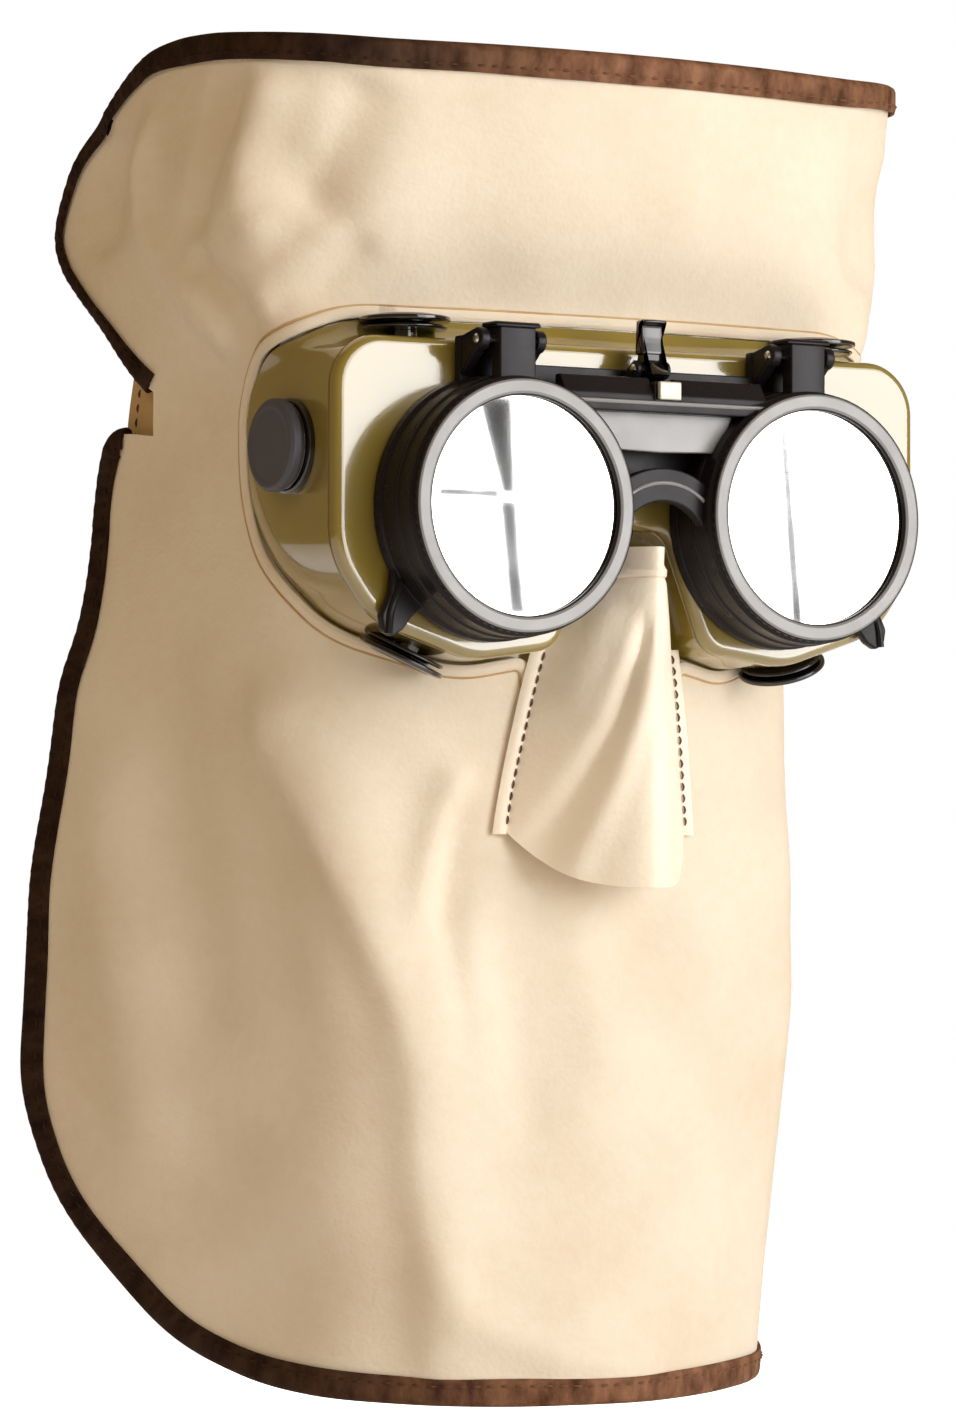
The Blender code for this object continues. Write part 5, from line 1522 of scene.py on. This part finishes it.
def make_flip():
    """The front that tips up: two holders, the bars and arch between them, knuckles and lips.

    The plate between the holders, the lip's edge and the arch's rib are a piece of their own, in
    the rings' pale grey: painted reflection on the plate and painted highlights on the lip's edge
    and the rib, which are black moulding like the rest.
    """
    bore = lens_radius + gap
    step = ring_back - ring_skirt - gap
    holder = lathe([
        (window_radius, holder_back), (holder_radius + holder_flare, holder_back),
        (holder_radius + holder_flare, holder_back + ledge),
        (holder_radius, holder_back + ledge + 0.3 * mm), (holder_radius, holder_front - ledge),
        (holder_radius - ledge, holder_front), (flip_bore, holder_front), (flip_bore, step),
        (bore, step), (bore, holder_back + ledge), (window_radius, holder_back + ledge)],
        128, soft=0.2 * mm)
    shells = [on_lens_axis(holder, side) for side in (-1, 1)]
    back = -holder_back - gap
    notch = keeper_half + 0.5 * mm
    reach = bar_half + bar_overlap
    for start, end in ((-reach, -notch), (notch, reach)):
        shells.append(bar_of([
            (back, bar_bottom), (back - bar_depth, bar_bottom),
            (back - bar_depth, bar_bottom + 1.6 * mm), (back - bar_depth * 0.45, bar_top),
            (back, bar_top)], start, end, 'X', soft=0.5 * mm))
    shells.append(box_of((-notch, back - bar_depth, bar_bottom), (notch, back, keeper_top)))
    ledge_front = back - bar_depth - keeper_depth
    shells.append(box_of((-reach, ledge_front, bar_bottom - groove * 2),
                         (reach, back - gap, bar_bottom + gap), 0.4 * mm))
    web = bar_of(clear_of_bores([
        (-web_half, web_bottom), (0, web_bottom), (web_half, web_bottom),
        (bar_half * 0.95, bar_bottom), (-bar_half * 0.95, bar_bottom)]),
        back - gap, back - web_depth, 'Y')
    lip = np.linspace(-reach, reach, 9)
    lip = np.stack([lip, np.full(9, ledge_front), np.full(9, bar_bottom - gap)], axis=1)
    arch, rib = bridge_arch(back)
    shells.append(arch)
    for side in (-1, 1):
        shells += knuckle(side * lens_across)
    make_piece("flip_front", shells, "frame", "flip_front", ["flip_frame"])
    # Painted reflection and highlights: the plate, the lip's edge and the rib take the rings'
    # pale grey in place of the black moulding's reflection of the bright surroundings.
    make_piece("bridge_plate_painted_reflection", [web, tube(lip, 0.5 * mm), rib], "ring", "flip_front")


def bridge_arch(back):
    """The arch below the bar, cut off by the lens bores, and the rib along its front."""
    turn = np.linspace(-0.5, 0.5, 25) * arch_angle
    spoke = np.stack([np.sin(turn), np.cos(turn)], axis=1)
    drop = (0, -arch_drop)
    section = supported(soften(np.array([
        (arch_radius, back - gap * 2), (arch_radius, back - arch_depth),
        (arch_radius - arch_bar, back - arch_depth), (arch_radius - arch_bar, back - gap * 2)]),
        0.5 * mm))
    rings = (spoke[:, None] * section[None, :, :1] + drop).reshape(-1, 2)
    rings = clear_of_bores(rings).reshape(len(spoke), len(section), 2)
    deep = np.broadcast_to(section[:, 1], rings.shape[:2])
    path = clear_of_bores(spoke[3:-3] * (arch_radius - arch_bar * 0.45) + drop)
    return (shell_of(np.stack([rings[..., 0], deep, rings[..., 1]], axis=-1)),
            tube(at_depth(path, back - arch_depth), 0.45 * mm))


def clear_of_bores(outline):
    """Push an outline's points out of the two lens bores, along lines from the lens axes."""
    outline = np.array(outline, float)
    for side in (-1, 1):
        away = outline - (side * lens_across, 0)
        reach = np.linalg.norm(away, axis=1, keepdims=True)
        outline += away / reach * np.maximum(0, flip_bore + 0.6 * mm - reach)
    return outline


def knuckle(middle):
    """The hinge block over a holder, rounded about its pin, and the thumb lip along its top."""
    back = -holder_back - gap
    front = -hinge_forward - knuckle_reach
    turn = np.linspace(0, math.pi, 13)
    eye = np.stack([-hinge_forward + knuckle_radius * np.sin(turn),
                    hinge_height + knuckle_radius * np.cos(turn)], axis=1)
    outline = np.vstack([[(back, holder_radius * 0.96), (front, holder_radius * 0.96),
                          (front, lip_level)], eye,
                         [(back, hinge_height - knuckle_radius - gap)]])
    block = bar_of(outline, middle - knuckle_half, middle + knuckle_half, 'X', edge=0.4 * mm)
    half = knuckle_half + lip_overhang
    lip_front = front - gap
    lip_back = -hinge_forward + knuckle_radius / 2
    lip = bar_of([(lip_back, lip_level), (lip_front, lip_level),
                  (lip_front, lip_level + lip_thickness / 2),
                  (lip_front + lip_thickness / 2, lip_level + lip_thickness),
                  (lip_back, lip_level + lip_thickness)],
                 middle - half, middle + half, 'X', edge=0.4 * mm)
    return [block, lip]


def make_lenses():
    """The inner, filter and cover lenses and the gaskets, discs on the lens axes."""
    for word, side in hands:
        for node, material, body, slot, soft in (
                ("inner_lens", "clear", "goggles", "clear_lens", 0.3),
                ("filter_lens", "filter", "flip_front", "filter_lens", 0.3),
                ("cover_lens", "lens", "flip_front", "clear_lens", 0.2),
                ("inner_gasket", "rubber", "goggles", "gasket", 0.1),
                ("filter_gasket", "rubber", "flip_front", "gasket", 0.1)):
            low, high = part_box(f"{node}_{word}")
            inner = window_radius if "gasket" in node else 0.0
            lens = disc(lens_radius, -high.y, -low.y, inner=inner, soft=soft * mm)
            make_piece(f"{node}_{word}_disc", [on_lens_axis(lens, side)], material, body,
                       [f"{node}_{word}"])


def make_rings():
    """The two screw-in rings: a ribbed black body with a skirt behind, and a plated face on it;
    the black bore wall inside the face is painted shade between ring and lens.
    """
    inner = lens_radius + gap
    outer = inner + ring_wall

    edge = ring_radius - 0.35 * mm
    face = front_plane - 0.55 * mm

    def ribs(angle, profile):
        outside = (profile[None, :, 0] > edge) & (profile[None, :, 1] < front_plane - 0.5 * mm)
        return outside * knurl_depth * (np.cos(angle * knurl_teeth) - 1) / 2

    body = lathe([
        (inner, ring_back - ring_skirt), (outer, ring_back - ring_skirt), (outer, ring_back),
        (ring_radius, ring_back), (ring_radius, face + 0.1 * mm), (edge, face + 0.25 * mm),
        (ring_opening + 0.2 * mm, face + 0.25 * mm), (ring_opening, face),
        (ring_opening, ring_back), (inner, ring_back)],
        knurl_teeth * 6, soft=0.12 * mm, ripple=ribs)
    plate = lathe([
        (ring_opening + 0.25 * mm, face), (edge, face), (edge, front_plane - 0.25 * mm),
        (edge - 0.45 * mm, front_plane), (ring_opening + 0.9 * mm, front_plane),
        (ring_opening + 0.25 * mm, front_plane - 0.4 * mm)], 192, soft=0.12 * mm)
    for word, side in hands:
        # Painted shade: the turned body is black, so its bore wall shows as the dark arc of shade
        # between the pale face and the lens.
        make_piece(f"ring_{word}_turned", [on_lens_axis(body, side)], "frame", f"ring_{word}",
                   [f"retaining_ring_{word}"])
        make_piece(f"ring_{word}_face", [on_lens_axis(plate, side)], "ring", f"ring_{word}")


def make_latch():
    """The catch between the lenses: lever, pin, spring and keeper."""
    rise = latch_top - latch_height
    thick = latch_thickness / 2
    tip = latch_tip - latch_height
    outline = np.array([
        (thick * 1.2, rise), (-thick * 0.6, rise), (-thick * 1.4, rise * 0.6),
        (-thick * 2.4, latch_hub * 0.8), (-latch_reach + thick, tip + thick),
        (-latch_reach, tip), (-latch_reach + thick, tip - thick / 2),
        (-latch_hub, -latch_hub * 0.7), (0.0, -latch_hub), (latch_hub * 0.75, -latch_hub * 0.7),
        (latch_hub, 0.0), (latch_hub * 0.9, latch_hub * 0.8), (thick * 1.5, rise * 0.45),
        (thick * 1.4, rise - latch_lip * 1.5), (thick * 2.6, rise - latch_lip / 2),
        (thick * 2.6, rise)]) + (-latch_forward, latch_height)
    lever = bar_of(outline, -latch_half, latch_half, 'X', soft=0.5 * mm, edge=0.4 * mm)
    blade = np.array([
        (thick * 1.5, rise), (-thick * 3.2, rise), (-thick * 3.4, rise - 0.7 * mm),
        (-thick * 1.2, rise - 1.3 * mm), (-thick * 1.5, rise * 0.6),
        (-thick * 2.6, latch_hub * 1.6), (thick * 2.2, latch_hub * 1.6), (thick * 1.9, rise * 0.5)
        ]) + (-latch_forward, latch_height)
    blade = bar_of(blade, -latch_half * 1.3, latch_half * 1.3, 'X', soft=0.8 * mm, edge=0.7 * mm)
    make_piece("lever", [lever, blade], "vent", "latch", ["latch_lever"])
    low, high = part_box("latch_keeper")
    make_piece("keeper", [box_of(low, high, 0.35 * mm)], "catch", "flip_front",
               ["latch_keeper"])
    make_pin("latch_pin", 0.0, latch_forward, latch_height, latch_high.x)
    turns = np.linspace(0, spring_turns, spring_turns * 24 + 1)
    path = np.stack([spring_start + spring_wire + (spring_wire * 2 + 0.1 * mm) * turns,
                     -latch_forward + spring_radius * np.cos(turns * math.tau),
                     latch_height + spring_radius * np.sin(turns * math.tau)], axis=1)
    make_piece("spring", [tube(path, spring_wire)], "steel", "goggles",
               ["latch_spring"])


def make_pin(node, across, ahead, height, reach):
    """A steel pin with a low domed head at each end."""
    pin = lathe([(0, -reach - 0.45 * mm), (pin_head * 0.6, -reach - 0.4 * mm),
                 (pin_head, -reach), (pin_radius, -reach), (pin_radius, reach),
                 (pin_head, reach), (pin_head * 0.6, reach + 0.4 * mm),
                 (0, reach + 0.45 * mm)], 32, soft=0.1 * mm)
    make_piece(node + "_turned", [sideways(pin, across, ahead, height)], "steel", "goggles",
               [node])


behind_guard = -leather / 2 - binding_slack - binding_wall - flange_gap


def make_tabs():
    """The leather tabs at the temple slits, with a stitched edge."""
    low, high = tab_middle - tab_half, tab_middle + tab_half
    corners = np.array([(tab_start, high), (tab_start, low), (tab_end, low), (tab_end, high)])

    def edge(radius, step, shrink=0.0):
        outline = soften(inset(corners, shrink), radius, 9)
        return even_line(np.vstack([outline, outline[:1]]), step)

    for word, side in hands:
        def place(across, height, lift, side=side):
            return seat_point(across * side, height, behind_guard - tab_thickness / 2 + lift)

        flat, faces = flat_sheet([edge(tab_corner, 1.5 * mm)[:-1]], 2.2 * mm)
        shell, places = thick_sheet(flat, faces, place, tab_thickness)
        tab = make_piece(f"tab_{word}", [shell], "tab", "goggles",
                         [f"temple_tab_{word}"], flat=places)
        seam = edge(tab_seam_corner, 1 * mm, tab_seam_inset)
        path = place(seam[:, 0], seam[:, 1], tab_thickness / 2)
        up = place(seam[:, 0], seam[:, 1], tab_thickness) - path
        thread = make_piece(f"tab_{word}_stitches", stitches(path, up), "thread", "goggles")


def band_line(level, start):
    """The strap's path at a level: from the slider round the side to where it is sewn."""
    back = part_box("headband")[1].y - band_thickness / 2
    inside_tab = behind_guard - tab_thickness - band_thickness / 2 - flange_gap - gap
    sewn = seat_point(np.array([tab_start, tab_start + band_sewn]), np.array([level, level]),
                      inside_tab)
    bend = sewn[1] * 2 - sewn[0] - (band_bend, 0, 0)
    half = np.array([*sewn, bend, (*band_corner, level),
                     *[(across, back, level) for across in (*band_straight, start)]])
    line = smooth_line(half, 12)
    return np.vstack([line * (-1, 1, 1), line[::-1]])


def make_band():
    """The elastic headband with its raised edges, and the slider on it."""
    bottom = band_line(tab_middle - band_width / 2, band_slider_half)
    top = band_line(tab_middle + band_width / 2, band_slider_half)
    middle = (bottom + top) / 2
    outward = unit(np.cross(np.gradient(middle, axis=0), top - bottom))
    section = soften(np.array([(0, -1), (0.06, -1), (0.5, -0.86), (0.94, -1), (1, -1), (1, 1),
                               (0.94, 1), (0.5, 0.86), (0.06, 1), (0, 1)], float), 0.03, 4)
    rings = (bottom[:, None] + (top - bottom)[:, None] * section[None, :, :1]
             + outward[:, None] * section[None, :, 1:] * band_thickness / 2)
    reach = distances(middle)
    band = make_piece("band", [shell_of(rings)], "webbing", "goggles", ["headband"],
                      flat=strip_places(reach, section[:, 0] * band_width))
    make_slider()


def make_slider():
    """The slider: rails above and below the strap, joined by bars before and behind it."""
    low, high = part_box("band_slider")
    rail = slider_rail
    shells = [box_of((low.x, low.y, low.z), (high.x, high.y, low.z + rail), 0.5 * mm),
              box_of((low.x, low.y, high.z - rail), (high.x, high.y, high.z), 0.5 * mm)]
    wall = (high.y - low.y - band_thickness) / 2 - gap
    shells.append(box_of((low.x, low.y, low.z), (high.x, low.y + wall, high.z), 0.4 * mm))
    for start, end in ((low.x, low.x + slider_bar), (high.x - slider_bar, high.x)):
        shells.append(box_of((start, high.y - wall, low.z), (end, high.y, high.z), 0.4 * mm))
    make_piece("slider_frame", shells, "frame", "slider", ["band_slider"])


# Camera, fitted to the photograph
view_turn = math.radians(-31.70)
view_tilt = math.radians(-1.63)
view_roll = math.radians(0.09)
view_distance = 1.3
view_lens = 145.43
sensor = 36.0
picture_height = 1426
centre_pixel = (478, 713)
aim_right = -36.18 * mm
aim_up = -44.75 * mm
aim_forward = 40.0 * mm


def make_camera():
    """The camera at the photograph's angle, looking along the fitted direction."""
    right = Vector((math.cos(view_turn), math.sin(view_turn), 0))
    back = Vector((math.sin(view_turn) * math.cos(view_tilt),
                   -math.cos(view_turn) * math.cos(view_tilt), math.sin(view_tilt)))
    up = back.cross(right)
    target = Vector((0, -aim_forward, 0)) + right * aim_right + up * aim_up
    data = bpy.data.cameras.new("camera")
    data.lens = view_lens
    data.sensor_fit = 'AUTO'
    data.sensor_width = sensor
    data.clip_end = 20.0
    camera = show("camera", data)
    turn = Matrix((right, up, back)).transposed().to_4x4()
    camera.matrix_world = (Matrix.Translation(target + back * view_distance) @ turn
                           @ Matrix.Rotation(view_roll, 4, 'Z'))
    bpy.context.scene.camera = camera


def make_panel(name, place, aim, size, power, tint, mirrored):
    """A rectangular soft light that faces a place, and may be kept out of reflections."""
    data = bpy.data.lights.new(name, 'AREA')
    data.shape = 'RECTANGLE'
    data.size, data.size_y = size
    data.energy = power
    data.color = tint
    light = show(name, data)
    light.location = place
    light.rotation_euler = (Vector(place) - Vector(aim)).to_track_quat('Z', 'Y').to_euler()
    light.visible_glossy = mirrored


def make_floor():
    """A pale round floor well below the guard."""
    material, tree, shader = new_material("pale_floor", Roughness=0.9)
    tint = mixed_colour(tree, noise(tree, object_place(tree), 3.0, 2.0),
                        (0.93, 0.93, 0.93, 1), (0.96, 0.96, 0.96, 1))
    tree.links.new(tint, shader.inputs["Base Color"])
    path = add_node(tree, 'ShaderNodeLightPath')
    shine = weighted_sum(tree, path.outputs["Is Glossy Ray"], 0.4, path.outputs["Is Camera Ray"])
    tree.links.new(shine, shader.inputs["Emission Strength"])
    shader.inputs["Emission Color"].default_value = (1, 1, 1, 1)
    angle = np.arange(96) * math.tau / 96
    points = np.stack([floor_radius * np.cos(angle), floor_radius * np.sin(angle),
                       np.full(96, floor_level)], axis=1)
    mesh = new_mesh("floor", points, [list(range(96))])
    mesh.materials.append(material)
    return show("floor", mesh)


def make_flags():
    """Thin black flags in front of the card, seen only in the mirror lenses.

    Each flag is drawn on the lens as picture places in pixels. The mirrored camera's ray
    through each place is carried on to the flags' plane.
    """
    material, _, shader = new_material("black_flag", Roughness=1.0)
    shader.inputs["Base Color"].default_value = (0.01, 0.01, 0.01, 1)
    camera = bpy.context.scene.camera.matrix_world
    eye = np.array(camera.translation)
    turn = np.array(camera.to_3x3())
    reach = view_lens / sensor * picture_height
    lens = -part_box("cover_lens_left")[0].y
    corners = np.array(flag_corners, float)
    rays = np.stack([corners[..., 0] - centre_pixel[0], centre_pixel[1] - corners[..., 1],
                     np.full(corners.shape[:2], -reach)], axis=-1) @ turn.T
    spots = eye + rays * ((-lens - eye[1]) / rays[..., 1:2])
    eye = eye * (1, -1, 1) - (0, 2 * lens, 0)
    rays = spots - eye
    points = (eye + rays * ((flag_plane - eye[1]) / rays[..., 1:2])).reshape(-1, 3)
    mesh = new_mesh("flags", points, np.arange(len(points)).reshape(-1, 4).tolist())
    mesh.materials.append(material)
    flags = show("flags", mesh)
    flags.visible_camera = flags.visible_diffuse = flags.visible_shadow = False
    return flags


def make_sky():
    """Even light: warm and dim on the object, and plain white where the camera sees it."""
    world = bpy.data.worlds.new("studio")
    world.use_nodes = True
    tree = world.node_tree
    path = add_node(tree, 'ShaderNodeLightPath')
    seen = path.outputs["Is Camera Ray"]
    strength = span(tree, seen, to_min=sky_light, to_max=1.0)
    tree.links.new(strength, tree.nodes["Background"].inputs["Strength"])
    tint = mixed_colour(tree, seen, (*sky_tint, 1), (1, 1, 1, 1))
    tree.links.new(tint, tree.nodes["Background"].inputs["Color"])
    bpy.context.scene.world = world
    bpy.context.scene.view_settings.view_transform = 'Standard'


# Surroundings: the flags' plane and their corners in picture pixels, the floor, and the light
# that comes from all round
flag_plane = -0.62
flag_corners = [
    [(477, 396), (513, 396), (516, 494), (502, 494)],
    [(499, 501), (517, 501), (526, 614), (509, 614)],
    [(438, 487), (500, 489), (500, 498), (438, 496)],
    [(777, 418), (788, 418), (803, 624), (792, 624)],
]
floor_radius = 2.4
floor_level = -0.32
sky_light = 0.27
sky_tint = (1.0, 0.69, 0.33)

# Soft lights: name, place, the place it faces, size, power, tint, and whether mirrors show it
panels = [
    ("key", (0.55, -1.2, 0.24), (0, 0, -0.02), (1.2, 1.0), 15.4, (1, 1, 1), True),
    ("low", (0.25, -1.15, -0.7), (0, 0, 0), (1.4, 0.8), 7.0, (1, 1, 1), True),
    ("side", (-1.25, -0.55, 0.75), (0, 0, 0), (0.5, 0.5), 3.6, (1.0, 0.86, 0.68), False),
    ("card", (1.2, -1.75, 0.05), (0, 0, 0), (0.9, 1.2), 9.0, (1, 1, 1), True),
    ("back", (0.42, 1.35, 0.22), (0, 0, -0.05), (0.6, 0.9), 8.0, (1, 1, 1), False),
]

make_guard()
make_nose_cover()
make_body()
make_carrier()
make_flip()
make_lenses()
make_rings()
make_latch()
for word, side in hands:
    make_pin(f"hinge_pin_{word}", side * lens_across, hinge_forward, hinge_height,
             lug_inside + lug_thickness)
make_tabs()
make_band()
make_camera()
make_sky()
for panel in panels:
    make_panel(*panel)
make_floor()
make_flags()
